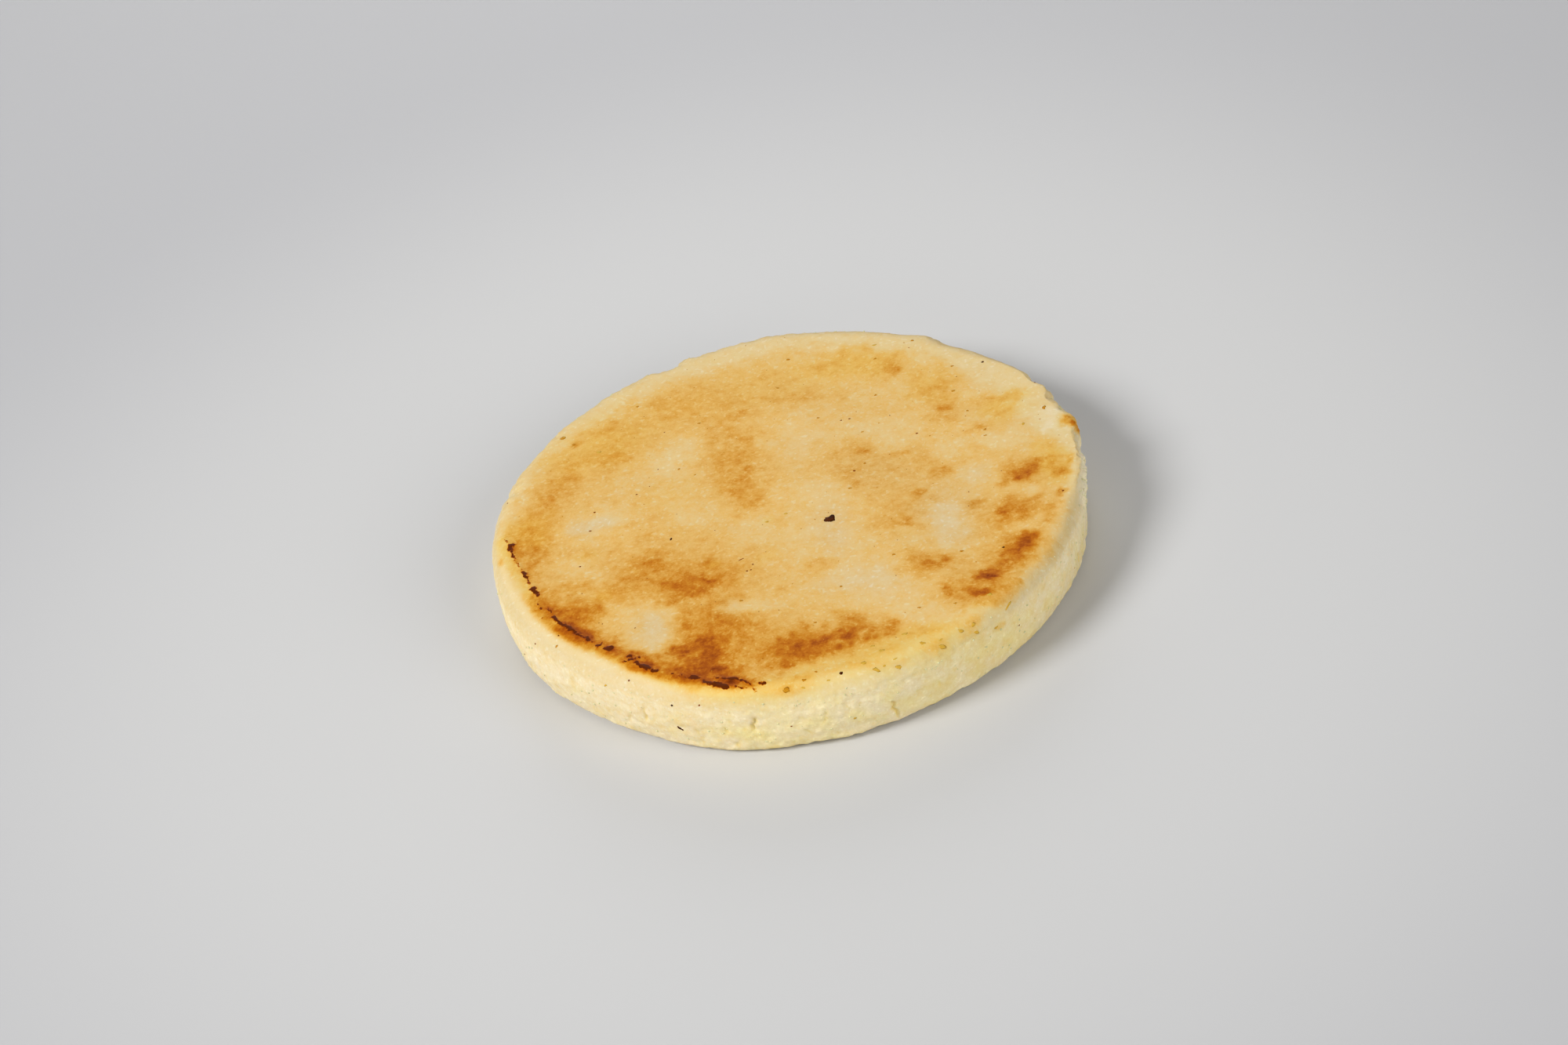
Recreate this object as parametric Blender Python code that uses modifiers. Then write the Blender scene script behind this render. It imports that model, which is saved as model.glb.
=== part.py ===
"""Arepa: a round, hand-patted corn flatbread, browned on a griddle and not cut open.

Metres, +Z up. The disc lies on its flat underside at z = 0, with the middle of its box on the Z axis. Angles are in
degrees, anticlockwise from +X as seen from above, so 270 faces the viewer. The disc is turned from one profile, and
then each point is moved to where a hand-patted edge has it: slow swells in the outline, a shoulder of uneven width,
flakes and notches round the rim, cracks in the side and a crumbly surface.
"""
import math

import bmesh
import bpy
from mathutils import Vector, noise

MM = 0.001

DISC_RADIUS = 52.0 * MM
THICKNESS = 13.1 * MM
SHOULDER_WIDTH = 4.4 * MM
SHOULDER_DROP = 3.6 * MM
BELLY = 0.25 * MM
FOOT_INSET = 0.55 * MM
FOOT_HEIGHT = 0.9 * MM
UNDERSIDE_INSET = 1.7 * MM
FOOT_BEND = 0.3

SECTORS = 240
TOP_RINGS = (0.34, 0.66, 0.88)
SHOULDER_STEPS = 4
SIDE_STEPS = 5
UNDERSIDE_RING = 0.6
MERGE_DISTANCE = 0.02 * MM

# Slow swells of the outline and changes in the shoulder's width: angle, change, half-width in degrees
OUTLINE_SWELLS = (
    (18.0, 0.75 * MM, 11.0),
    (85.0, 0.35 * MM, 4.0),
    (160.0, 0.6 * MM, 13.0),
    (202.0, 0.2 * MM, 6.0),
    (225.0, -0.4 * MM, 7.0),
    (252.0, 0.55 * MM, 8.0),
    (273.0, 0.55 * MM, 9.0),
    (347.0, -0.25 * MM, 5.0),
)
SHOULDER_SWELLS = (
    (178.0, -1.2 * MM, 6.0),
    (212.0, 0.7 * MM, 14.0),
    (253.0, -1.4 * MM, 9.0),
    (330.0, 0.8 * MM, 16.0),
    (20.0, 0.6 * MM, 14.0),
)

# Crags of the upper edge: angle, push outwards, half-width in degrees
RIM_CRAGS = (
    (4.5, 1.2 * MM, 2.6),
    (23.5, -0.6 * MM, 1.5),
    (51.5, 0.8 * MM, 2.4),
    (46.5, -0.3 * MM, 1.5),
    (103.5, 0.45 * MM, 1.8),
    (110.5, -0.9 * MM, 2.6),
    (135.5, 0.4 * MM, 2.2),
    (158.7, -0.45 * MM, 1.6),
    (345.0, 0.35 * MM, 1.5),
)
CRAG_BOTTOM = 5.5 * MM
CRAG_FULL = 9.5 * MM

# Cracks of the side: angle, low end, high end, depth
SIDE_CRACKS = (
    (231.6, 3.6 * MM, 5.9 * MM, 0.35 * MM),
    (235.6, 5.4 * MM, 8.3 * MM, 0.40 * MM),
    (245.5, 3.6 * MM, 6.2 * MM, 0.40 * MM),
    (251.0, 3.6 * MM, 6.2 * MM, 0.40 * MM),
    (256.4, 4.9 * MM, 7.9 * MM, 0.60 * MM),
    (281.8, 1.7 * MM, 5.8 * MM, 0.70 * MM),
    (290.7, 4.6 * MM, 6.2 * MM, 0.45 * MM),
)
CRACK_HALF_WIDTH = 1.1
CRACK_FADE = 0.8 * MM

# Where the relief of the edge starts and is full, measured in from the rim, and how high the foot's relief reaches
RELIEF_START = 5.3 * MM
RELIEF_FULL = 2.2 * MM
FOOT_BAND = (0.9 * MM, 2.6 * MM)

# Grain of the relief: how far a point moves, and the size of the lumps
LUMP_GAIN = 1.6
CRUMB_DEPTH = 0.18 * MM
CRUMB_SIZE = 3.6 * MM
RAGGED_DEPTH = 0.45 * MM
RAGGED_SIZE = 2.2 * MM
RAGGED_MIDDLE = 5.0
RAGGED_HALF_WIDTH = 13.0
FOOT_RAG_DEPTH = 0.35 * MM
FOOT_RAG_SIZE = 4.0 * MM
TOP_SWELL_HEIGHT = 0.22 * MM
TOP_SWELL_SIZE = 17.0 * MM

CRUST_COLOUR = (0.78, 0.53, 0.21, 1.0)
CRUST_ROUGHNESS = 0.55
SMOOTH_ANGLE = math.radians(40.0)


def clear_scene():
    """Removes every object of the file that the script starts in."""
    for thing in list(bpy.data.objects):
        bpy.data.objects.remove(thing, do_unlink=True)


def make_collection(name):
    """A collection in the scene, named for the object it holds."""
    collection = bpy.data.collections.new(name)
    bpy.context.scene.collection.children.link(collection)
    return collection


def crust_material():
    """The griddled corn dough, in one even colour."""
    material = bpy.data.materials.new("griddled_crust")
    material.use_nodes = True
    shader = material.node_tree.nodes["Principled BSDF"]
    shader.inputs["Base Color"].default_value = CRUST_COLOUR
    shader.inputs["Roughness"].default_value = CRUST_ROUGHNESS
    shader.inputs["Metallic"].default_value = 0.0
    return material


def turn_apart(angle, middle):
    """The angle between two directions, in degrees from 0 to 180."""
    return abs((angle - middle + 180.0) % 360.0 - 180.0)


def swell(angle, middle, half_width):
    """A smooth hump, 1 at its middle and fading to both sides."""
    return math.exp(-0.5 * (turn_apart(angle, middle) / half_width) ** 2)


def sum_of_swells(angle, swells):
    """The change that a list of swells makes at one angle."""
    return sum(change * swell(angle, middle, half_width) for middle, change, half_width in swells)


def ramp(value, start, end):
    """0 before start, 1 after end, and smooth between them."""
    share = min(max((value - start) / (end - start), 0.0), 1.0)
    return share * share * (3.0 - 2.0 * share)


def lumps(place, size):
    """Even, repeatable unevenness between about -1 and 1, with lumps of the given size."""
    return noise.noise(Vector(place) / size) * LUMP_GAIN


def disc_profile():
    """The turned section as (radius, height) points, from the middle of the top round the edge to the underside."""
    flat_edge = DISC_RADIUS - SHOULDER_WIDTH
    side_top = THICKNESS - SHOULDER_DROP
    points = [(0.0, THICKNESS)]
    points += [(flat_edge * share, THICKNESS) for share in TOP_RINGS]
    for step in range(SHOULDER_STEPS + 1):
        turn = math.radians(90.0) * step / SHOULDER_STEPS
        points.append((flat_edge + SHOULDER_WIDTH * math.sin(turn), side_top + SHOULDER_DROP * math.cos(turn)))
    for step in range(1, SIDE_STEPS + 1):
        share = step / SIDE_STEPS
        bulge = BELLY * math.sin(math.pi * share)
        points.append((DISC_RADIUS - FOOT_INSET * share ** 2 + bulge, side_top + (FOOT_HEIGHT - side_top) * share))
    points.append((DISC_RADIUS - FOOT_INSET - UNDERSIDE_INSET * FOOT_BEND, FOOT_HEIGHT * FOOT_BEND))
    points.append((DISC_RADIUS - FOOT_INSET - UNDERSIDE_INSET, 0.0))
    points.append((DISC_RADIUS * UNDERSIDE_RING, 0.0))
    points.append((0.0, 0.0))
    return points


def turned_mesh(name, points, collection):
    """A closed mesh made by turning a profile once round the Z axis."""
    drawing = bmesh.new()
    corners = [drawing.verts.new((radius, 0.0, height)) for radius, height in points]
    for first, second in zip(corners, corners[1:]):
        drawing.edges.new((first, second))
    section = bpy.data.meshes.new(name + "_section")
    drawing.to_mesh(section)
    drawing.free()
    turned = bpy.data.objects.new(name + "_section", section)
    collection.objects.link(turned)
    screw = turned.modifiers.new("turn", "SCREW")
    screw.axis = "Z"
    screw.angle = math.tau
    screw.steps = SECTORS
    screw.render_steps = SECTORS
    screw.use_merge_vertices = True
    screw.merge_threshold = MERGE_DISTANCE
    bpy.context.view_layer.update()
    evaluated = turned.evaluated_get(bpy.context.evaluated_depsgraph_get())
    mesh = bpy.data.meshes.new_from_object(evaluated)
    bpy.data.objects.remove(turned, do_unlink=True)
    return mesh


def crack_depth(angle, height):
    """How deep the side's cracks cut in at one place."""
    depth = 0.0
    for middle, low, high, deepest in SIDE_CRACKS:
        along = ramp(height, low - CRACK_FADE, low) * (1.0 - ramp(height, high, high + CRACK_FADE))
        depth += deepest * along * swell(angle, middle, CRACK_HALF_WIDTH)
    return depth


def spread(reach, rim, shoulder):
    """Where a point of the round disc lies once the rim and the shoulder have their uneven sizes."""
    flat_edge = DISC_RADIUS - SHOULDER_WIDTH
    if reach > flat_edge:
        return rim - (DISC_RADIUS - reach) * shoulder / SHOULDER_WIDTH
    return reach * (rim - shoulder) / flat_edge


def patted(place):
    """The place that the hand-patted disc has for one point of the turned one."""
    angle = math.degrees(math.atan2(place.y, place.x)) % 360.0
    reach = math.hypot(place.x, place.y)
    height = place.z
    rim = DISC_RADIUS + sum_of_swells(angle, OUTLINE_SWELLS)
    shoulder = SHOULDER_WIDTH + sum_of_swells(angle, SHOULDER_SWELLS)
    edge_share = ramp(reach, DISC_RADIUS - RELIEF_START, DISC_RADIUS - RELIEF_FULL)
    moved = spread(reach, rim, shoulder)
    foot_share = edge_share * (1.0 - ramp(height, FOOT_BAND[0], FOOT_BAND[1]))
    side_share = edge_share - foot_share
    crag_share = side_share * ramp(height, CRAG_BOTTOM, CRAG_FULL)
    ragged = RAGGED_DEPTH * swell(angle, RAGGED_MIDDLE, RAGGED_HALF_WIDTH) * lumps(place, RAGGED_SIZE)
    moved += crag_share * (sum_of_swells(angle, RIM_CRAGS) + ragged)
    moved += side_share * (CRUMB_DEPTH * lumps(place, CRUMB_SIZE) - crack_depth(angle, height))
    flat_place = Vector((place.x, place.y, 0.0))
    moved += foot_share * FOOT_RAG_DEPTH * lumps(flat_place, FOOT_RAG_SIZE)
    top_share = ramp(height, THICKNESS - SHOULDER_DROP, THICKNESS)
    height += top_share * TOP_SWELL_HEIGHT * lumps(flat_place, TOP_SWELL_SIZE)
    return Vector((moved * math.cos(math.radians(angle)), moved * math.sin(math.radians(angle)), height))


def stand_on_origin(mesh):
    """Shifts the mesh sideways so that the middle of its box is on the Z axis."""
    across = [vertex.co.x for vertex in mesh.vertices]
    along = [vertex.co.y for vertex in mesh.vertices]
    middle = Vector(((min(across) + max(across)) / 2.0, (min(along) + max(along)) / 2.0, 0.0))
    for vertex in mesh.vertices:
        vertex.co -= middle


def make_arepa(collection):
    """The whole disc, as one solid."""
    mesh = turned_mesh("arepa", disc_profile(), collection)
    mesh.name = "arepa"
    for vertex in mesh.vertices:
        if vertex.co.xy.length > MERGE_DISTANCE:
            vertex.co = patted(vertex.co)
    stand_on_origin(mesh)
    mesh.materials.clear()
    mesh.materials.append(crust_material())
    mesh.shade_smooth()
    mesh.set_sharp_from_angle(angle=SMOOTH_ANGLE)
    arepa = bpy.data.objects.new("arepa", mesh)
    collection.objects.link(arepa)
    return arepa


def main():
    """Builds the arepa in a cleared scene."""
    clear_scene()
    make_arepa(make_collection("arepa"))


main()
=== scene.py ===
"""The looks of a griddled arepa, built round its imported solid.

Metres, +Z up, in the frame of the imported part. The disc is first shaped in its turned frame, whose Z axis
runs through the middle of the round it was patted to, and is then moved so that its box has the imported
part's middle. Angles are in degrees, anticlockwise from +X as seen from above, so 270 faces the camera.
"""
import logging
import math
import random
from dataclasses import dataclass
from enum import Enum
from typing import ClassVar

import bpy
import numpy as np
from mathutils import Matrix, Vector, noise
from mathutils.bvhtree import BVHTree


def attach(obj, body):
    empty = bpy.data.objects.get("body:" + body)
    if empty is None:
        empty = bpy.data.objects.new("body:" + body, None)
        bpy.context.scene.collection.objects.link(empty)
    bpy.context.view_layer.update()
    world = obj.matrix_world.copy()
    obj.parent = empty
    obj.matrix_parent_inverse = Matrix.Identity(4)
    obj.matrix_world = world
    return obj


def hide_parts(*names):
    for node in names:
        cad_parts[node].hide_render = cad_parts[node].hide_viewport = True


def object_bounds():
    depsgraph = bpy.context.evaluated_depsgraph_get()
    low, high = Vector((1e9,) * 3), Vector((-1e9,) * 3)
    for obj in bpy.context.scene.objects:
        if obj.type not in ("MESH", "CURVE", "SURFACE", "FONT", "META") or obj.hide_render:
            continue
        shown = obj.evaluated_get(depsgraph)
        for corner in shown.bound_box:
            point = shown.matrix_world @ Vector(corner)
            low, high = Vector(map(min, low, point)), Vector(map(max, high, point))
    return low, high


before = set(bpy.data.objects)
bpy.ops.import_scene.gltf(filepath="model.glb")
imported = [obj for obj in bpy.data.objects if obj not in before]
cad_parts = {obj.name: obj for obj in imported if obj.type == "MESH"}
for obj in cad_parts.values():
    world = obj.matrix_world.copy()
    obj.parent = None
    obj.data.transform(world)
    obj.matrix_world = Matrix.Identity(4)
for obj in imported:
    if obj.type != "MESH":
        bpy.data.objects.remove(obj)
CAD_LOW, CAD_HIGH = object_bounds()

MM = 0.001
ON_GROUND = 0.01 * MM
log = logging.getLogger("arepa")

Array = np.ndarray
Colour = tuple[float, float, float, float]
WHITE: Colour = (1.0, 1.0, 1.0, 1.0)


def ramp(value: Array | float, start: float, end: float) -> Array:
    """Rises smoothly from 0 to 1.

    Args:
        value: The values to read.
        start: Where the rise starts.
        end: Where it is complete.

    Returns:
        A share from 0 to 1 for each value.
    """
    share = np.clip((np.asarray(value) - start) / (end - start), 0.0, 1.0)
    return share * share * (3.0 - 2.0 * share)


def bell(apart: Array) -> Array:
    """1 where nothing is apart, fading smoothly to 0."""
    return np.exp(-(apart ** 2))


def turn_apart(angle: Array, middle: float) -> Array:
    """How far directions are from a middle one, in degrees from -180 to 180."""
    return (angle - middle + 180.0) % 360.0 - 180.0


def directions(places: Array) -> Array:
    """The direction of each point from the axis, in degrees from 0 to 360."""
    return np.degrees(np.arctan2(places[:, 1], places[:, 0])) % 360.0


def laid_flat(places: Array) -> Array:
    """The points with a height of 0."""
    return places * np.array([1.0, 1.0, 0.0])


def hump(angle: Array, middle: float, half_width: float) -> Array:
    """A smooth hump round the disc.

    Args:
        angle: Directions in degrees.
        middle: The direction of the hump's top.
        half_width: How many degrees it takes to fade.

    Returns:
        1 at the hump's middle, and less to both sides.
    """
    return np.exp(-0.5 * (turn_apart(angle, middle) / half_width) ** 2)


def humps_in_mm(*humps: tuple[float, float, float]) -> tuple:
    """Humps as (middle, change, half-width), with their changes turned from millimetres into metres."""
    return tuple((middle, change * MM, half_width) for middle, change, half_width in humps)


def sum_of_humps(angle: Array, humps: tuple) -> Array:
    """Adds up (middle, change, half-width) humps.

    Args:
        angle: Directions in degrees.
        humps: The humps to add.

    Returns:
        The change at each direction.
    """
    total = np.zeros_like(angle)
    for middle, change, half_width in humps:
        total += change * hump(angle, middle, half_width)
    return total


def lumps(places: Array, size: float, gain: float = 1.6) -> Array:
    """Repeatable unevenness.

    Args:
        places: Points, one row each.
        size: How large the lumps are, in the points' unit.
        gain: How strong they are.

    Returns:
        A value between about -1 and 1 for each point.
    """
    scaled = (places / size).tolist()
    return np.fromiter((noise.noise(place) for place in scaled), float, len(scaled)) * gain


def linear(red: int, green: int, blue: int) -> Colour:
    """Turns a colour as a screen shows it into a linear one.

    Args:
        red: Its red, from 0 to 255.
        green: Its green, from 0 to 255.
        blue: Its blue, from 0 to 255.

    Returns:
        The linear colour.
    """
    seen = [channel / 255.0 for channel in (red, green, blue)]
    parts = [share / 12.92 if share <= 0.04045 else ((share + 0.055) / 1.055) ** 2.4 for share in seen]
    return parts[0], parts[1], parts[2], 1.0


@dataclass(frozen=True)
class DiscForm:
    """The form of the hand-patted disc.

    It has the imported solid's own sizes, with a rounder foot, a finer crumb, and a sharper and more flaked
    edge at the right.
    """

    radius: float = 52.0 * MM
    thickness: float = 13.1 * MM
    shoulder_width: float = 4.4 * MM
    shoulder_drop: float = 3.6 * MM
    belly: float = 0.25 * MM
    foot_inset: float = 0.55 * MM
    foot_height: float = 1.3 * MM
    underside_inset: float = 2.2 * MM
    outline_swells: tuple = humps_in_mm(
        (18, 0.75, 11), (85, 0.35, 4), (160, 0.6, 13), (202, 0.2, 6), (225, -0.4, 7), (252, 0.55, 8),
        (273, 0.55, 9), (350, -0.5, 7),
    )
    shoulder_swells: tuple = humps_in_mm(
        (178, -1.2, 6), (212, 0.7, 14), (253, -1.4, 9), (320, 0.6, 11), (352, -3.7, 12), (6, -1, 4),
        (24, -2.3, 9),
    )
    rim_crags: tuple = humps_in_mm(
        (5.4, 1.1, 2), (0.8, -0.3, 0.8), (351, 0.55, 6), (9.4, -0.35, 1), (14.2, -0.35, 0.8),
        (18.6, 0.35, 1.3), (22, -0.85, 1.1), (51.5, 0.8, 2.2), (46.5, -0.3, 1.5), (87, 0.3, 1.2),
        (92.5, 0.28, 1), (103.6, 0.6, 1.3), (109, -0.9, 2.4), (112.6, 0.35, 0.9), (124.5, 0.25, 1),
        (135.5, 0.4, 2.2), (158.7, -0.45, 1.6),
    )
    crag_bottom: float = 5.5 * MM
    crag_full: float = 9.5 * MM
    relief_start: float = 5.3 * MM
    relief_full: float = 2.2 * MM
    foot_band: tuple = (0.9 * MM, 2.6 * MM)
    crumb_depth: float = 0.09 * MM
    crumb_size: float = 3.6 * MM
    ragged_depth: float = 0.45 * MM
    ragged_size: float = 2.2 * MM
    ragged_middle: float = 5.0
    ragged_half_width: float = 13.0
    foot_rag_depth: float = 0.16 * MM
    foot_rag_size: float = 4.0 * MM
    top_swell_height: float = 0.22 * MM
    top_swell_size: float = 17.0 * MM

    @property
    def flat_edge(self) -> float:
        """Where the flat top ends and the shoulder starts."""
        return self.radius - self.shoulder_width

    @property
    def side_top(self) -> float:
        """The height at which the shoulder meets the side."""
        return self.thickness - self.shoulder_drop

    def edge_share(self, reach: Array) -> Array:
        """How far a turned reach belongs to the edge, from 0 on the flat top to 1 on the side."""
        return ramp(reach, self.radius - self.relief_start, self.radius - self.relief_full)

    def spread(self, angle: Array, reach: Array) -> Array:
        """Gives the rim and the shoulder their uneven sizes.

        Args:
            angle: Directions in degrees.
            reach: Distances from the axis on the turned disc.

        Returns:
            Distances from the axis on the patted disc.
        """
        rim = self.radius + sum_of_humps(angle, self.outline_swells)
        shoulder = self.shoulder_width + sum_of_humps(angle, self.shoulder_swells)
        outer = rim - (self.radius - reach) * shoulder / self.shoulder_width
        inner = reach * (rim - shoulder) / self.flat_edge
        return np.where(reach > self.flat_edge, outer, inner)

    def patted(self, places: Array) -> Array:
        """Moves points of the turned disc to where the hand-patted one has them.

        Args:
            places: Points of the turned disc, one row each.

        Returns:
            The moved points.
        """
        angle = directions(places)
        reach = np.hypot(places[:, 0], places[:, 1])
        height = places[:, 2]
        edge = self.edge_share(reach)
        foot_share = edge * (1.0 - ramp(height, *self.foot_band))
        side_share = edge - foot_share
        crag_share = side_share * ramp(height, self.crag_bottom, self.crag_full)
        ragged = hump(angle, self.ragged_middle, self.ragged_half_width) * lumps(places, self.ragged_size)
        flat_places = laid_flat(places)
        moved = self.spread(angle, reach)
        moved += crag_share * (sum_of_humps(angle, self.rim_crags) + self.ragged_depth * ragged)
        moved += side_share * self.crumb_depth * lumps(places, self.crumb_size)
        moved += foot_share * self.foot_rag_depth * lumps(flat_places, self.foot_rag_size)
        top_share = ramp(height, self.side_top, self.thickness)
        raised = height + top_share * self.top_swell_height * lumps(flat_places, self.top_swell_size)
        turn = np.radians(angle)
        return np.column_stack([moved * np.cos(turn), moved * np.sin(turn), raised])


@dataclass(frozen=True)
class Ring:
    """One ring of the fine mesh: its distance from the axis, its height and how many points it has."""

    reach: float
    height: float
    count: int


@dataclass(frozen=True)
class Crack:
    """One crack of the side, in degrees round the disc and metres up it."""

    angle: float
    low: float
    high: float
    depth: float
    lean: float

    @classmethod
    def in_mm(cls, angle: float, low: float, high: float, depth: float, lean: float) -> "Crack":
        """A crack whose ends and depth are given in millimetres."""
        return cls(angle, low * MM, high * MM, depth * MM, lean)


@dataclass(frozen=True)
class EdgeRelief:
    """The fine crumb, cracks and pores of the edge, and the slight unevenness of the griddled top."""

    cracks: tuple = tuple(Crack.in_mm(*row) for row in (
        (231.3, 3.6, 5.6, 0.22, 0.55), (235.4, 5.4, 8.2, 0.3, 0.18), (245.5, 4.6, 5.8, 0.22, -0.2),
        (251, 4.9, 6.3, 0.28, 0.15), (252.6, 1.8, 3, 0.3, 0.3), (256.5, 5.6, 8.2, 0.52, 0.28),
        (265.6, 3.3, 4.7, 0.18, -0.8), (269.2, 7, 8.2, 0.2, 0.45), (269, 5.7, 6.7, 0.2, 0.3),
        (273.3, 7.2, 8.4, 0.16, -0.7), (281.6, 2, 6, 0.5, -0.22), (290.6, 4.9, 6.1, 0.3, -0.3),
        (307, 3.2, 4.6, 0.2, 0.4), (24, 3.4, 6.2, 0.4, -0.4), (61, 2.4, 4.8, 0.35, 0.5),
        (98, 4.6, 7.4, 0.5, 0.3), (127, 2.8, 4.6, 0.35, -0.5), (152, 4.8, 7.2, 0.4, 0.4),
        (204, 4, 5.4, 0.22, 0.3), (334, 3.2, 5.2, 0.35, -0.4),
    ))
    crack_half_width: float = 0.24 * MM
    crack_reach: float = 4.0 * MM
    crack_step: float = 5.0
    crack_zigzag: float = 0.30 * MM
    crack_zigzag_size: float = 0.9 * MM
    crack_fade: float = 0.5 * MM
    crumb_layers: tuple = ((0.065 * MM, 1.5 * MM), (0.075 * MM, 0.75 * MM))
    crumb_on_edge: float = 0.45
    crumb_on_side: float = 0.55
    edge_foot: float = 0.6 * MM
    side_ends: tuple = (0.5 * MM, 0.8 * MM)
    top_layers: tuple = ((0.045 * MM, 5.0 * MM), (0.020 * MM, 1.6 * MM))
    foot_rag_depth: float = 0.24 * MM
    foot_rag_lift: float = 0.40 * MM
    foot_rag_size: float = 1.3 * MM
    foot_rag_top: float = 2.8 * MM
    flake_layers: tuple = ((0.34 * MM, 1.9 * MM), (0.28 * MM, 0.85 * MM))
    flake_band: tuple = (4.0 * MM, 8.5 * MM)
    flake_most: tuple = (-1.0, 0.6)
    flake_shift: float = 0.05
    tooth_layers: tuple = ((0.34 * MM, 1.5 * MM), (0.42 * MM, 0.75 * MM))
    tooth_arc: tuple = (353.0, 1.0, 6.5)
    tooth_middle: float = 0.28
    tooth_band: tuple = (3.0 * MM, 5.0 * MM)
    flake_arcs: tuple = (
        (16, 1, 4), (5, 0.3, 3), (352, 0.5, 5), (36, 0.4, 4), (108, 0.9, 8), (50, 0.5, 3), (138, 0.6, 5),
        (158, 0.6, 4), (82, 0.45, 8), (125, 0.4, 30),
    )
    pore_count: int = 240
    pore_radius: tuple = (0.16 * MM, 0.38 * MM)
    pore_depth: float = 0.13 * MM
    pore_seed: int = 11
    pore_arc: tuple = (1.0, 359.0)
    pore_ends: tuple = (0.8 * MM, 0.6 * MM)
    pore_window: float = 2.5
    deepest: float = 0.5 * MM
    char_height: float = 0.12 * MM
    char_rise: tuple = (-0.5, 0.4)
    char_size: float = 0.7 * MM

    def crack_share(self, angle: Array, height: Array, reach: Array) -> Array:
        """How deep the cracks cut.

        Args:
            angle: Directions in degrees.
            height: Heights of the points.
            reach: Their distances from the axis.

        Returns:
            The depth of the cracks at each point, in metres.
        """
        depth = np.zeros_like(angle)
        for number, crack in enumerate(self.cracks):
            middle = (crack.low + crack.high) / 2.0
            along = np.radians(turn_apart(angle, crack.angle)) * reach
            near = np.abs(along) < self.crack_reach
            up = height[near]
            path = np.column_stack([np.zeros_like(up), np.full_like(up, number * self.crack_step * MM), up])
            zigzag = self.crack_zigzag * lumps(path, self.crack_zigzag_size)
            across = along[near] - crack.lean * (up - middle) - zigzag
            fade = ramp(up, crack.low - self.crack_fade, crack.low + self.crack_fade)
            fade *= 1.0 - ramp(up, crack.high - self.crack_fade, crack.high + self.crack_fade)
            cut = crack.depth * fade * bell(across / self.crack_half_width)
            depth[near] = np.maximum(depth[near], cut)
        return depth

    def pore_share(self, angle: Array, height: Array, reach: Array, form: DiscForm) -> Array:
        """How deep the side's pores are.

        Args:
            angle: Directions in degrees.
            height: Heights of the points.
            reach: Their distances from the axis.
            form: The disc's form.

        Returns:
            The depth of the pores at each point, in metres.
        """
        depth = np.zeros_like(angle)
        order = np.argsort(angle)
        sorted_angle = angle[order]
        draw = random.Random(self.pore_seed)
        low, over = self.pore_ends
        for _ in range(self.pore_count):
            middle, level = draw.uniform(*self.pore_arc), draw.uniform(low, form.side_top + over)
            radius = draw.uniform(*self.pore_radius)
            window = math.degrees(self.pore_window * radius / form.radius)
            first, last = np.searchsorted(sorted_angle, (middle - window, middle + window))
            near = order[first:last]
            across = np.radians(angle[near] - middle) * reach[near]
            apart = np.hypot(across, height[near] - level)
            pit = self.pore_depth * bell(apart / radius)
            depth[near] = np.maximum(depth[near], pit)
        return depth


@dataclass(frozen=True)
class Patch:
    """One browned or pale place on the griddled top, in millimetres of the turned frame.

    Its level is how far the crust is browned: 0 is pale dough, 0.3 golden, 0.6 brown and above 1 charred.
    """

    x: float
    y: float
    long: float
    wide: float
    turn: float
    level: float


@dataclass(frozen=True)
class Stroke:
    """One charred dash or dot of the burnt line, from end to end, in millimetres of the turned frame."""

    x: float
    y: float
    end_x: float
    end_y: float
    half_width: float


@dataclass(frozen=True)
class EdgeSpot:
    """One browned or pale place on the shoulder or the side; two of the pale ones are painted light.

    Its angle is in degrees, and its height on the turned disc and its half-sizes are in millimetres.
    """

    angle: float
    height: float
    wide: float
    tall: float
    level: float


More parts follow.
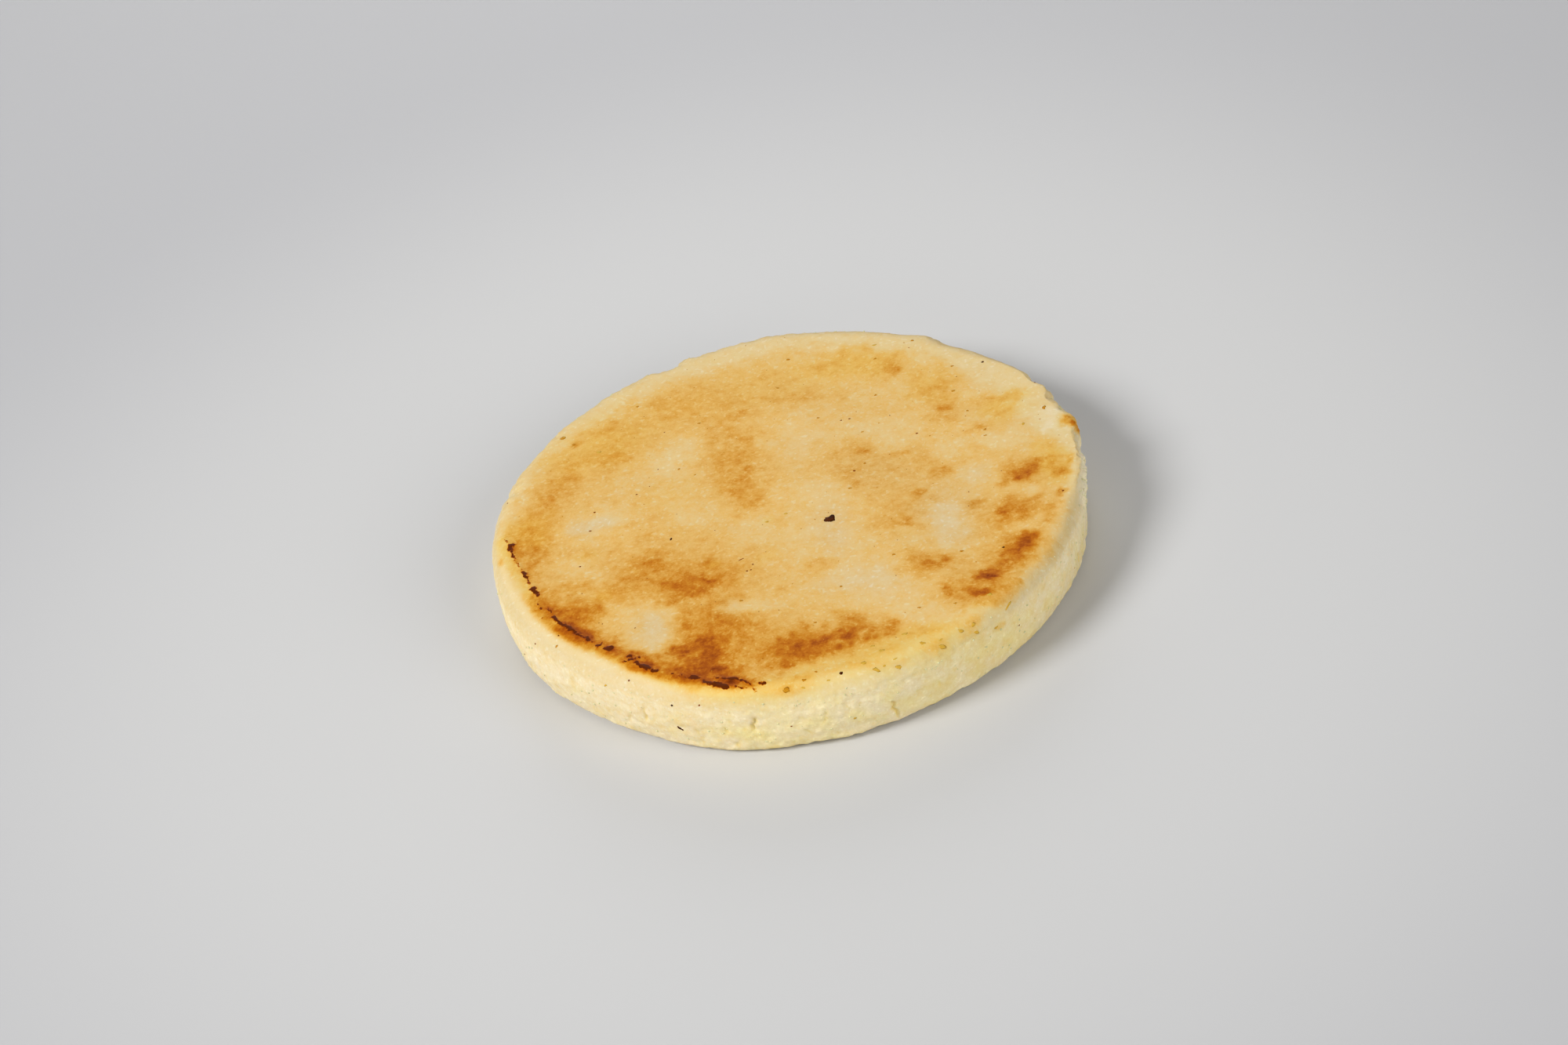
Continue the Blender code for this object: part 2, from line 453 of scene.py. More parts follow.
@dataclass(frozen=True)
class Browning:
    """Where and how far the griddle browned the crust, with two pale spots of painted light on the side."""

    base: float = 0.135
    side_level: float = -0.14
    side_from: float = -0.3 * MM
    top_from: float = 3.2 * MM
    tint_from: float = -3.0 * MM
    scorch_from: float = 0.5 * MM
    scorch_full: float = 0.6 * MM
    side_mottle: tuple = ((0.040, 2.6), (0.040, 1.1))
    side_tint_mottle: tuple = (0.40, 3.0, 9.0)
    broad_warp: tuple = ((1.2, 6.0), (0.9, 2.4), (0.5, 1.0))
    small_warp: tuple = ((0.35, 1.9), (0.35, 0.9))
    small_width: float = 1.9
    warp_shifts: tuple = (7.0, 13.0)
    mottle: tuple = ((0.050, 3.2), (0.055, 1.5), (0.045, 0.75))
    mottle_gain: float = 2.0
    mottle_rise: tuple = (0.10, 0.55)
    pale_mottle: float = 0.30
    streak: tuple = (0.022, 0.25, 1.1)
    pale_rim_reach: float = 44.6
    pale_rim_swells: tuple = (
        (178, 2, 22), (143, 1.4, 12), (100, -0.4, 20), (62, -0.6, 16), (25, -0.6, 14), (352, 4, 10),
        (270, 5.6, 30), (318, 2.6, 14),
    )
    pale_rim_fade: float = 2.7
    rim_level: float = 0.0
    char_line: tuple = (
        (172, 49.6), (177.7, 48.7), (181, 48.4), (185, 47.6), (189.8, 47), (195, 46.5), (200.5, 46.9),
        (204, 46.6), (207, 46.7), (213, 46.5), (218, 46.2), (223.2, 46.2), (230, 47), (237, 47.9),
        (244, 48.8), (249, 49.8), (253.7, 50.3), (259.6, 50.2), (264, 50.2),
    )
    char_force: tuple = (
        (173, 0), (176, 0.7), (179, 0.8), (186, 0.7), (190, 0.7), (196, 0.9), (203, 0.8), (207, 1), (218, 1),
        (224, 0.8), (231, 1), (238, 0.9), (248, 1), (256, 0.8), (262, 0.25), (266, 0),
    )
    halo_inside: tuple = (0.22, 1.8)
    halo_outside: tuple = (0.13, 1.0)
    halo_rise: tuple = (-0.6, 0.5)
    halo_mottle: tuple = (0.75, 0.9, 2.4)
    halo_layers: tuple = ((3.0, 1.0, 0.5), (0.0, 2.5, 0.3))
    halo_yellow: float = 1.4
    halo_yellow_middle: float = 0.8
    halo_yellow_reach: float = 1.5
    edge_spots: tuple = tuple(EdgeSpot(*row) for row in (
        (5.4, 11.6, 1.6, 1.3, 0.26), (4, 11.4, 0.8, 0.8, 0.5), (292.3, 12, 1.8, 0.7, 0.17),
        (300.6, 12.2, 2, 0.6, 0.18), (305.4, 9.4, 1.5, 0.5, 0.1), (281, 12.6, 2, 0.5, 0.18),
        (267, 12.4, 1.2, 0.5, 0.18), (262, 11.7, 14, 1.3, 0.06), (190, 12, 8, 1.8, -0.04),
        (181.8, 12.7, 0.9, 0.5, 0.24), (207, 12.1, 9, 1.9, -0.07), (224, 12, 9, 1.9, -0.06),
        # Painted light: the pale spots at 270 and at 351 degrees make the side paler where little light falls.
        (238, 11.8, 5, 1.6, -0.05), (270, 6, 16, 6, -0.19), (244.3, 6.2, 2.6, 2.2, -0.06),
        (351, 8.5, 8, 5.4, -0.32), (263, 12.4, 5, 0.9, 0.12), (263.2, 12.3, 0.9, 0.6, 0.28),
    ))
    tint_spots: tuple = tuple(EdgeSpot(*row) for row in (
        (198, 12, 15, 2.2, 0.1), (222, 12, 12, 2.4, -0.1),
    ))
    edge_spots_from: tuple = (48.6, 50.0)
    underside: tuple = (0.12, 0.08, 9.0, 0.05, 2.6)
    char_wobble: float = 0.22
    char_wobble_size: float = 0.9
    char_wobble_shift: float = 5.0
    char_from: float = 42.0
    char_side_drop: float = 2.0
    strokes: tuple = tuple(Stroke(*row) for row in (
        (-49.2, 4.2, -48.6, 2.4, 0.16), (-48.4, 2.1, -48, 2, 0.5), (-48.5, 1.6, -48.3, 0.6, 0.4),
        (-48.3, 0.2, -47.9, -1.8, 0.22), (-47.9, -1.8, -47.2, -4.6, 0.17), (-47.2, -4.6, -46.6, -6, 0.14),
        (-46.6, -6.2, -46, -7.8, 0.34), (-46, -8.2, -45.7, -9.6, 0.2), (-45.6, -9.8, -45.2, -11, 0.12),
        (-45.2, -11.6, -44.8, -12.4, 0.62), (-44.5, -12.8, -44.3, -13.8, 0.3),
        (-44.5, -15.8, -44.4, -16.2, 0.2), (-44.1, -17, -44.1, -17.6, 0.2), (-44.2, -19.8, -44.2, -19.9, 0.2),
        (-42.9, -17.6, -42.3, -19.2, 0.16), (-42.3, -20.2, -41.4, -22, 0.38),
        (-41.4, -22, -39.9, -23.9, 0.34), (-39.9, -23.9, -38.8, -25.6, 0.4), (-38.6, -26, -37.3, -27.4, 0.28),
        (-37, -27.3, -36.3, -28.7, 0.34), (-35.4, -30.3, -34.9, -30.5, 0.38),
        (-34.5, -29.8, -34.5, -29.9, 0.16), (-33.8, -31.6, -33.3, -31.9, 0.66),
        (-31.6, -36.2, -31.1, -36.4, 0.26), (-30.5, -34.9, -30.2, -35, 0.28), (-30.3, -36, -29.8, -36.1, 0.4),
        (-29.1, -35.6, -28.8, -35.7, 0.26), (-27.9, -35.9, -27.8, -36, 0.18),
        (-29.2, -37.2, -27.5, -39.1, 0.48), (-26.7, -39.8, -26.2, -40, 0.4),
        (-23.8, -41.6, -23.8, -41.7, 0.26), (-22.7, -42.3, -22.5, -42.4, 0.22),
        (-22, -42.9, -21.8, -43.1, 0.26), (-20.6, -43.6, -20, -43.9, 0.52), (-19, -45.1, -17.3, -46.4, 0.34),
        (-17.3, -46.3, -15.5, -47.7, 0.58), (-14.6, -45.9, -13.6, -46.2, 0.4),
        (-13.2, -46.7, -12.2, -47.5, 0.22), (-16.8, -45, -15.6, -45.6, 0.24),
        (-11.9, -47.8, -11.2, -48.7, 0.14), (-14.1, -48.1, -13.9, -48.2, 0.22),
        (-13.1, -48.5, -12.9, -48.6, 0.22), (-12.4, -48.8, -12.2, -48.8, 0.18),
        (-11.1, -49.4, -11, -49.7, 0.2), (-10.3, -48.6, -9.3, -49, 0.3),
    ))
    patches: tuple = tuple(Patch(*row) for row in (
        (-36, 6, 17, 10, 80, 0.175), (-13, 32.5, 12, 6, 0, 0.22), (-17, 33.5, 5, 3.6, 0, 0.26),
        (-28, 23.5, 9, 6.5, 35, 0.23), (-28.5, 29.8, 3.2, 2.2, 0, 0.27), (-27.5, 21.5, 4.5, 2.6, 10, 0.28),
        (-39, 15, 11, 5, 70, 0.24), (-38.2, 16.5, 3.4, 2.6, 60, 0.31), (-41.2, 11.5, 3.4, 2, 65, 0.33),
        (-44, 1.5, 6, 4.6, 80, 0.33), (-45.5, -3, 5, 2, 100, 0.38), (-35.2, 28, 1.1, 0.8, 60, 0.36),
        (-8, 25.5, 4.4, 7, 0, 0.23), (-7, 14, 14, 5.4, 92, 0.25), (-6.8, 10, 10, 3, 95, 0.31),
        (-6.6, 8.4, 1.6, 1.2, 0, 0.4), (-7.6, 3.8, 3.8, 1.5, 112, 0.38), (-5.4, 0.4, 2.8, 1.4, 112, 0.34),
        (-4.6, 26.6, 2.2, 1.5, 0, 0.34), (-9.8, 36, 1.2, 1.6, 0, 0.28), (5.5, 28.3, 7, 2.6, -12, 0.25),
        (3.4, 33, 2.5, 3.6, 0, 0.21), (0, 36.5, 2.6, 2.4, 0, 0.2), (16, 35.5, 9, 3, -8, 0.21),
        (24, 31, 3.6, 3, 20, 0.25), (23.8, 30.6, 1.7, 1.5, 20, 0.38), (30.5, 19, 4, 7, 0, 0.24),
        (31, 22.6, 1.8, 2.2, 0, 0.29), (31.3, 15.7, 1.5, 1.4, 0, 0.36), (31.2, 13, 1.6, 1.5, 0, 0.29),
        (40.5, 14.8, 4, 1.9, -8, 0.24), (38.8, 14.8, 1.4, 1, 0, 0.29), (41, 10.4, 1.6, 1.4, 0, 0.21),
        (36, 7.4, 1.9, 1.3, 0, 0.26), (20, 2, 13, 6, -28, 0.21), (11.5, 4, 5, 5.5, 0, 0.23),
        (10.6, 2.4, 2.6, 1.7, -15, 0.34), (15, 8.4, 2.2, 1.7, -20, 0.31), (21.5, 5.4, 1.8, 1.1, 0, 0.29),
        (25.5, 1.5, 4.2, 1.4, -45, 0.25), (34.5, 0.2, 1.4, 1.5, 0, 0.21), (28, -1.8, 2.4, 1.9, -20, 0.32),
        (13.2, -1.2, 1.4, 1.3, 0, 0.29), (20, -9, 6, 4.6, -55, 0.23), (22.8, -7, 1.3, 1.1, 0, 0.39),
        (25, -9.8, 2, 1.2, -35, 0.28), (17, -13.4, 3.6, 1.8, 8, 0.29), (19.5, -13.6, 0.8, 0.9, 0, 0.44),
        (19.3, -14.9, 1.2, 0.7, -20, 0.37), (21, -16, 1.4, 0.9, -30, 0.28), (46.5, -2, 3.6, 1.8, 80, 0.16),
        (43.5, -7, 5, 3.2, 10, 0.25), (41.4, -8, 3.4, 2.4, 35, 0.42), (41.3, -8, 2.1, 1.2, 38, 0.64),
        (42.9, -6.8, 0.9, 0.8, 0, 0.58), (40.4, -8.7, 0.9, 0.8, 0, 0.62), (47.3, -8, 1.5, 3.2, -8, 0.29),
        (47, -9.6, 1.2, 1.3, 0, 0.4), (36.5, -19.5, 7, 4.6, 10, 0.26), (37.5, -18, 4.6, 2.4, -5, 0.36),
        (35.8, -17.7, 1.7, 2.2, -20, 0.55), (35.9, -17.4, 0.9, 1.1, -30, 0.66),
        (38.9, -18.5, 1.3, 1.1, 0, 0.55), (46.2, -15.5, 0.8, 1.1, -30, 0.46),
        (41.3, -15.7, 1.9, 0.8, 10, 0.38), (43.4, -19.6, 2.4, 0.9, 65, 0.31), (42.5, -21.9, 1, 0.8, 0, 0.3),
        (31.6, -13.6, 2.4, 1.2, 30, 0.32), (36.4, -27.4, 5.6, 3.6, 50, 0.4), (36.7, -27.2, 4, 2, 52, 0.6),
        (37.6, -26.2, 1.9, 1.2, 60, 0.76), (35.2, -28.6, 1.3, 1.1, 30, 0.77), (34.2, -30, 2.4, 1.4, 50, 0.48),
        (41.8, -28.5, 1.6, 2.4, -20, 0.22), (28.5, -35.4, 6.6, 4, 10, 0.36),
        (31.6, -32.8, 2.6, 1.8, 15, 0.48), (30.2, -33.3, 1.8, 1.1, -12, 0.8),
        (30.6, -33.8, 1, 0.6, -30, 0.92), (29.2, -33, 0.8, 0.6, 0, 0.82), (27, -36.8, 1.6, 0.8, -30, 0.58),
        (28.5, -37.6, 1.9, 1, -15, 0.72), (28.8, -37.8, 0.8, 0.6, 0, 0.82), (28, -39.4, 2.6, 1.2, 0, 0.3),
        (23, -34.7, 0.9, 0.8, 0, 0.62), (23.8, -36, 1.8, 0.9, -40, 0.42), (24.2, -37.6, 2.2, 1.2, 0, 0.32),
        (34.4, -35.2, 1.2, 0.7, -45, 0.36), (21.5, -26.8, 6.4, 2.6, -22, 0.3),
        (21.6, -27.4, 2.2, 0.9, -30, 0.47), (24, -26.8, 0.7, 1.2, 10, 0.5), (20, -25, 1.6, 1, -60, 0.38),
        (18.5, -22.8, 0.9, 0.8, 0, 0.22), (17.3, -28.2, 1.5, 1, 0, 0.38), (3.8, -21.4, 2.6, 1.7, 0, 0.25),
        (1, -24.8, 0.9, 0.5, 30, 0.24), (-4, -26, 1.2, 0.8, 0, 0.21), (-11, -25.5, 2, 1.4, -60, 0.26),
        (-34, -14.5, 9, 4, 0, 0.23), (-39, -13, 3.2, 1.8, -10, 0.27), (-43.6, -15, 2, 4, 0, 0.33),
        (-23, -1.5, 3, 5, 0, 0.22), (-21, -14.5, 13, 7.5, -15, 0.3), (-24.6, -12, 2.6, 3, 0, 0.4),
        (-24, -12.6, 0.9, 1.2, 0, 0.5), (-27, -15, 1.8, 1.3, 0, 0.49), (-22, -19, 9, 3.4, -12, 0.36),
        (-28.5, -17.6, 2.6, 1.1, 0, 0.38), (-33.6, -17.8, 1.5, 1, 0, 0.31), (-11, -18.6, 3.6, 1.8, 0, 0.3),
        (-18, -19.4, 5, 3.2, -16, 0.5), (-18.6, -18.4, 2.4, 1.6, 0, 0.6), (-15.6, -19.2, 1.6, 0.7, 0, 0.62),
        (-20.4, -19.8, 1.4, 0.8, 0, 0.58), (-17.4, -21.6, 2, 1.4, 0, 0.6), (-16, -23.2, 1.6, 0.9, 0, 0.52),
        (-38.8, -19.6, 5.2, 3.2, -35, 0.48), (-38.2, -21.8, 2.4, 1.4, -25, 0.53),
        (-39.6, -24.2, 7, 2.6, -52, 0.56), (-37.4, -26.6, 2.6, 1.5, -50, 0.72),
        (-32.8, -30.4, 1.8, 2.2, 0, 0.42), (-33.6, -32.2, 2.2, 1.6, -40, 0.5), (-15, -33, 10, 8, -25, 0.34),
        (-30, -35.8, 3, 2, -25, 0.66), (-28.8, -37.8, 4.2, 2.4, -45, 0.6), (-17, -29, 5.6, 3.4, -30, 0.46),
        (-13.6, -31.2, 2, 1, -30, 0.5), (-9.6, -33.2, 2, 1.4, 40, 0.4), (-18.4, -38, 6.4, 6, 0, 0.54),
        (-21.8, -36.2, 3.2, 1.2, -12, 0.66), (-23.4, -35.6, 0.9, 0.6, 0, 0.62),
        (-17.8, -34.6, 2, 1.2, 0, 0.68), (-16.6, -37.6, 1.7, 2.6, 10, 0.76),
        (-17.6, -38.6, 1.2, 0.9, 0, 0.84), (-20, -39.4, 1.2, 0.8, 0, 0.64), (-21.4, -41, 2.2, 0.8, -20, 0.68),
        (-17.4, -41.4, 2.4, 1.4, 0, 0.7), (-16.8, -42.6, 2.2, 0.8, -8, 0.9), (-20, -43.4, 4.8, 1.7, -30, 0.6),
        (-15.4, -45.4, 4.6, 1.8, -32, 0.74), (-12.2, -44.6, 2, 1.2, 20, 0.46),
        (-12.6, -47.6, 1.8, 0.8, -35, 0.56), (2.5, -41, 9.5, 4.2, 0, 0.38), (-2.6, -42.4, 5.4, 3.2, 0, 0.57),
        (-3.4, -39.2, 2.4, 2.2, 0, 0.6), (-3.2, -41.6, 1, 0.9, 0, 0.68), (-4.4, -45.2, 1.6, 1, 20, 0.56),
        (0.2, -42.8, 3, 2, 0, 0.66), (0, -42.2, 0.9, 0.7, 0, 0.72), (3.6, -43.4, 1.8, 1.1, 20, 0.52),
        (6.4, -40.2, 2.4, 2.6, 0, 0.54), (5.8, -41, 0.9, 1.2, 0, 0.7), (5.4, -39.2, 0.9, 0.8, 0, 0.64),
        (8.6, -42.4, 1.8, 1.4, 0, 0.44), (12.8, -40.6, 2.2, 1.2, 35, 0.44), (12, -42.4, 1.4, 1, 0, 0.4),
        (6.6, -37, 1.2, 0.8, 0, 0.4), (5.2, -34.6, 1.3, 0.8, 0, 0.31), (17.6, -42.8, 1.5, 0.8, -20, 0.24),
        (-14.2, -15.4, 1, 0.9, 0, 0.28), (-19, 16.6, 4.4, 4.2, 0, 0.05), (-16, 21.5, 2.6, 2.2, 0, 0.09),
        (-28, 37, 4, 2.4, 30, 0.02), (-32.6, 3, 5, 3.8, 0, 0.06), (-26.5, 13, 4.5, 3, 20, 0.12),
        (-36, -9.5, 4.6, 1.8, -40, 0.11), (-27, -26, 4.6, 4, 0, 0.08), (-25.6, -31.2, 2.6, 3, 0, 0.04),
        (-17, 0, 4.6, 3.6, 0, 0.09), (-6.6, -7, 4, 2.6, 60, 0.08), (4.6, 17, 3.6, 6.5, 0, 0.09),
        (15.5, 14.4, 5, 2.2, -10, 0.06), (22, 11, 3, 3.6, 30, 0.07), (20.4, 25, 4.6, 3.2, 0, 0.12),
        (26, -16, 2.6, 4.6, 10, 0.05), (25.4, -22.4, 1.8, 1.8, 0, 0.08), (6, -2, 4, 5, 0, 0.08),
        (2, -13.5, 5.4, 4.4, 0, 0.08), (9, -17, 3, 5, 0, 0.08), (11, -28, 6, 5, 0, 0.06),
        (15.8, -36.8, 2.6, 4, 0, 0.08), (-9, -28.6, 6, 1.8, -12, 0.08), (20.5, -41, 3.4, 3.6, 0, 0.08),
        (32.8, -4.8, 3.6, 3, 0, 0.07), (39.6, 2.8, 4.4, 2.6, 0, 0.04), (29.8, 3.6, 2.6, 2.4, -40, 0.08),
        (37.2, 18.6, 2.6, 1.6, 0, 0.09), (38, -22.4, 2.6, 1.4, 0, 0.15), (41.8, -12.8, 1, 0.9, 0, 0.06),
        (8.4, -49.4, 2.4, 0.8, -12, 0.22), (12.8, -49.6, 1.4, 0.7, 12, 0.2),
        (18.8, -48.2, 2.6, 1.1, 10, 0.23), (25.8, -45, 2.2, 0.9, 20, 0.24), (17.2, -44.2, 3.4, 0.8, 5, 0.2),
        (-3.2, -49.6, 1.8, 1.1, 0, 0.22), (-2.8, 45.8, 3.2, 1.3, 0, 0.01), (-20.5, 40.5, 3, 1.2, 30, 0.05),
        (48.6, 4.9, 1.8, 2.4, 0, -0.16), (49.4, 8.8, 1.5, 1.9, 20, -0.12), (-50.8, -1, 1.7, 6.5, 0, 0.02),
        (-49.6, -11, 1.5, 4.5, 13, 0.03), (50.8, -6.5, 1.5, 4.5, 0, 0), (49.9, -13, 1.4, 3.6, -12, 0.02),
        (51.3, 4.5, 1.7, 1.6, 0, 0.28), (52.2, 3.6, 0.8, 0.8, 0, 0.58), (51.2, 5.6, 0.6, 0.6, 0, 0.38),
    ))
    softness: float = 2.6
    firmness: float = 0.8
    yellow_patches: tuple = tuple(Patch(*row) for row in (
        (-30, 26, 12, 8, 30, 0.85), (0, 34, 22, 8, 0, 0.55), (18, 35, 9, 4.5, -15, 0.9),
        (30, 23, 5, 7, 0, 0.75), (41, 13, 5, 5, 0, 0.9), (46.5, -6, 3, 7, 0, 1.2), (-45, 4, 5, 5, 0, 0.95),
        (-20, 7, 7, 5, 0, 0.35), (-8, 5, 4, 12, 0, 0.05), (-35.5, -5.5, 2.2, 1.6, 0, 0.7),
        (-33.6, -17.6, 2.2, 1.6, 0, 0.8), (-14.3, -15.4, 1.4, 1.2, 0, 1.1), (-3.6, -6, 1.4, 1.2, 0, 0.75),
        (-5, -16, 2.4, 1.4, 0, 0.6), (17.3, -28.2, 2, 1.4, 0, 0.6), (18.5, -22.7, 1.4, 1.2, 0, 0.7),
        (5.3, -34.6, 1.7, 1.1, 0, 0.6), (14, -47, 16, 4.4, 8, 1.15), (-4, -49, 6, 3, 0, 0.9),
        (28, -40.5, 3, 1.6, 0, 0.6), (7, -12, 4, 8, 0, -0.8), (26, -14, 6, 11, 0, -0.85),
        (11, -28, 8, 5, -20, -0.8), (-26, -29, 3.4, 5, 0, -0.85), (-34, 2.4, 4, 3, 0, -0.85),
        (-13, -28, 4, 3, 0, -0.6), (15, 1, 10, 8, -30, -0.45), (4, 12, 6, 8, 0, -0.45),
        (33, -5, 3, 3, 0, -0.65), (50.8, -8, 1.6, 7, -6, 0.1), (51.6, 4.4, 2.2, 2.2, 0, 1.1),
    ))
    side_yellow: tuple = (
        (0, 0.4), (30, 0.2), (90, 0), (150, 0), (190, 0.1), (225, 0), (243, 0.35), (258, 0.7), (276, 0.55),
        (292, 0.6), (306, 0.85), (322, 0.55), (340, 0.5), (360, 0.4),
    )

    def warped(self, flat: Array, layers: tuple) -> tuple[Array, Array]:
        """Moves points about a little, so that no patch has a plain outline.

        Args:
            flat: Points in millimetres, with a height of 0.
            layers: How far they move and the size of the lumps, from coarse to fine.

        Returns:
            Their x and their y.
        """
        x, y = flat[:, 0].copy(), flat[:, 1].copy()
        first, step = self.warp_shifts
        for number, (reach, size) in enumerate(layers):
            shift = np.array([0.0, 0.0, first + step * number])
            x += reach * lumps(flat + shift, size)
            y += reach * lumps(flat - shift, size)
        return x, y

    def painted(self, flat: Array, start: Array, patches: tuple) -> Array:
        """Lays patches over each other.

        Args:
            flat: Points in millimetres, with a height of 0.
            start: The value before the first patch.
            patches: The patches, from broad to small.

        Returns:
            The value at each point.
        """
        broad, small = self.warped(flat, self.broad_warp), self.warped(flat, self.small_warp)
        value = start.copy()
        for patch in patches:
            x, y = small if patch.wide < self.small_width else broad
            turn = math.radians(patch.turn)
            along = (x - patch.x) * math.cos(turn) + (y - patch.y) * math.sin(turn)
            across = (y - patch.y) * math.cos(turn) - (x - patch.x) * math.sin(turn)
            apart = np.hypot(along / patch.long, across / patch.wide)
            value += (patch.level - value) * np.exp(-(apart ** self.softness) * self.firmness)
        return value

    def level(self, places: Array) -> Array:
        """How far the crust is browned.

        Args:
            places: Points of the patted disc in its turned frame, in metres.

        Returns:
            A level for each point: 0 is pale dough, 0.3 golden, 0.6 brown and above 1 charred.
        """
        flat = laid_flat(places / MM)
        pale_from = self.pale_rim_reach + sum_of_humps(directions(flat), self.pale_rim_swells)
        reach = np.hypot(*self.warped(flat, self.broad_warp))
        rim = ramp(reach, pale_from - self.pale_rim_fade, pale_from + self.pale_rim_fade)
        level = self.painted(flat, self.base + (self.rim_level - self.base) * rim, self.patches)
        share = self.pale_mottle + (1.0 - self.pale_mottle) * ramp(level, *self.mottle_rise)
        for depth, size in self.mottle:
            level += depth * share * lumps(flat, size, self.mottle_gain)
        depth, stretch, size = self.streak
        return level + depth * lumps(flat * np.array([stretch, 1.0, 1.0]), size) * share

    def yellow(self, places: Array) -> Array:
        """How much yellower than usual the top is at each point, below 0 where it is greyer."""
        return self.painted(laid_flat(places / MM), np.zeros(len(places)), self.yellow_patches)

    def line_reach(self, places: Array) -> tuple[Array, Array]:
        """Compares points with the burnt line.

        Args:
            places: Points of the patted disc in its turned frame, in metres.

        Returns:
            How far outside the line each point is, in millimetres, and how strongly the line is burnt there.
        """
        angle = directions(places)
        line_angle, reach = np.array(self.char_line).T
        force_angle, force = np.array(self.char_force).T
        outside = np.hypot(places[:, 0], places[:, 1]) / MM - np.interp(angle, line_angle, reach)
        return outside, np.interp(angle, force_angle, force)

    def halo(self, places: Array) -> tuple[Array, Array]:
        """The scorched band along the burnt line.

        Args:
            places: Points of the patted disc in its turned frame, in metres.

        Returns:
            How much the band adds to the level, and how much to the yellow.
        """
        flat = laid_flat(places / MM)
        outside, force = self.line_reach(places)
        inner, inner_reach = self.halo_inside
        outer, outer_reach = self.halo_outside
        share = ramp(outside, *self.halo_rise)
        rise = inner + (outer - inner) * share
        reach = inner_reach + (outer_reach - inner_reach) * share
        mottle, swing, size = self.halo_mottle
        for shift, finer, part in self.halo_layers:
            mottle = mottle + swing * lumps(flat + shift, size / finer) * part
        glow = self.halo_yellow * force * bell((outside - self.halo_yellow_middle) / self.halo_yellow_reach)
        return rise * force * mottle * bell(outside / reach), glow

    def spotted(self, level: Array, angle: Array, turned: Array, spots: tuple) -> Array:
        """Lays spots of the edge over the level or the yellow.

        Args:
            level: The values so far.
            angle: Directions in degrees.
            turned: Points of the turned disc.
            spots: The spots, from broad to small.

        Returns:
            The values with the spots.
        """
        reach = np.hypot(turned[:, 0], turned[:, 1]) / MM
        at_edge = ramp(reach, *self.edge_spots_from)
        for spot in spots:
            across = np.radians(turn_apart(angle, spot.angle)) * reach
            apart = np.hypot(across / spot.wide, (turned[:, 2] / MM - spot.height) / spot.tall)
            level = level + (spot.level - level) * at_edge * np.exp(-(apart ** self.softness) * self.firmness)
        return level

    def char(self, places: Array) -> Array:
        """Lays out the charred strokes of the burnt line.

        Args:
            places: Points of the patted disc in its turned frame, in metres.

        Returns:
            How far each point is inside its nearest stroke, in millimetres, and below 0 outside.
        """
        flat = laid_flat(places / MM)
        x = flat[:, 0] + self.char_wobble * lumps(flat, self.char_wobble_size)
        y = flat[:, 1] + self.char_wobble * lumps(flat + self.char_wobble_shift, self.char_wobble_size)
        inside = np.full_like(x, -1.0)
        near = np.hypot(x, y) > self.char_from
        for stroke in self.strokes:
            run_x, run_y = stroke.end_x - stroke.x, stroke.end_y - stroke.y
            share = ((x[near] - stroke.x) * run_x + (y[near] - stroke.y) * run_y) / (run_x ** 2 + run_y ** 2)
            share = np.clip(share, 0.0, 1.0)
            apart = np.hypot(x[near] - stroke.x - share * run_x, y[near] - stroke.y - share * run_y)
            inside[near] = np.maximum(inside[near], stroke.half_width - apart)
        return inside


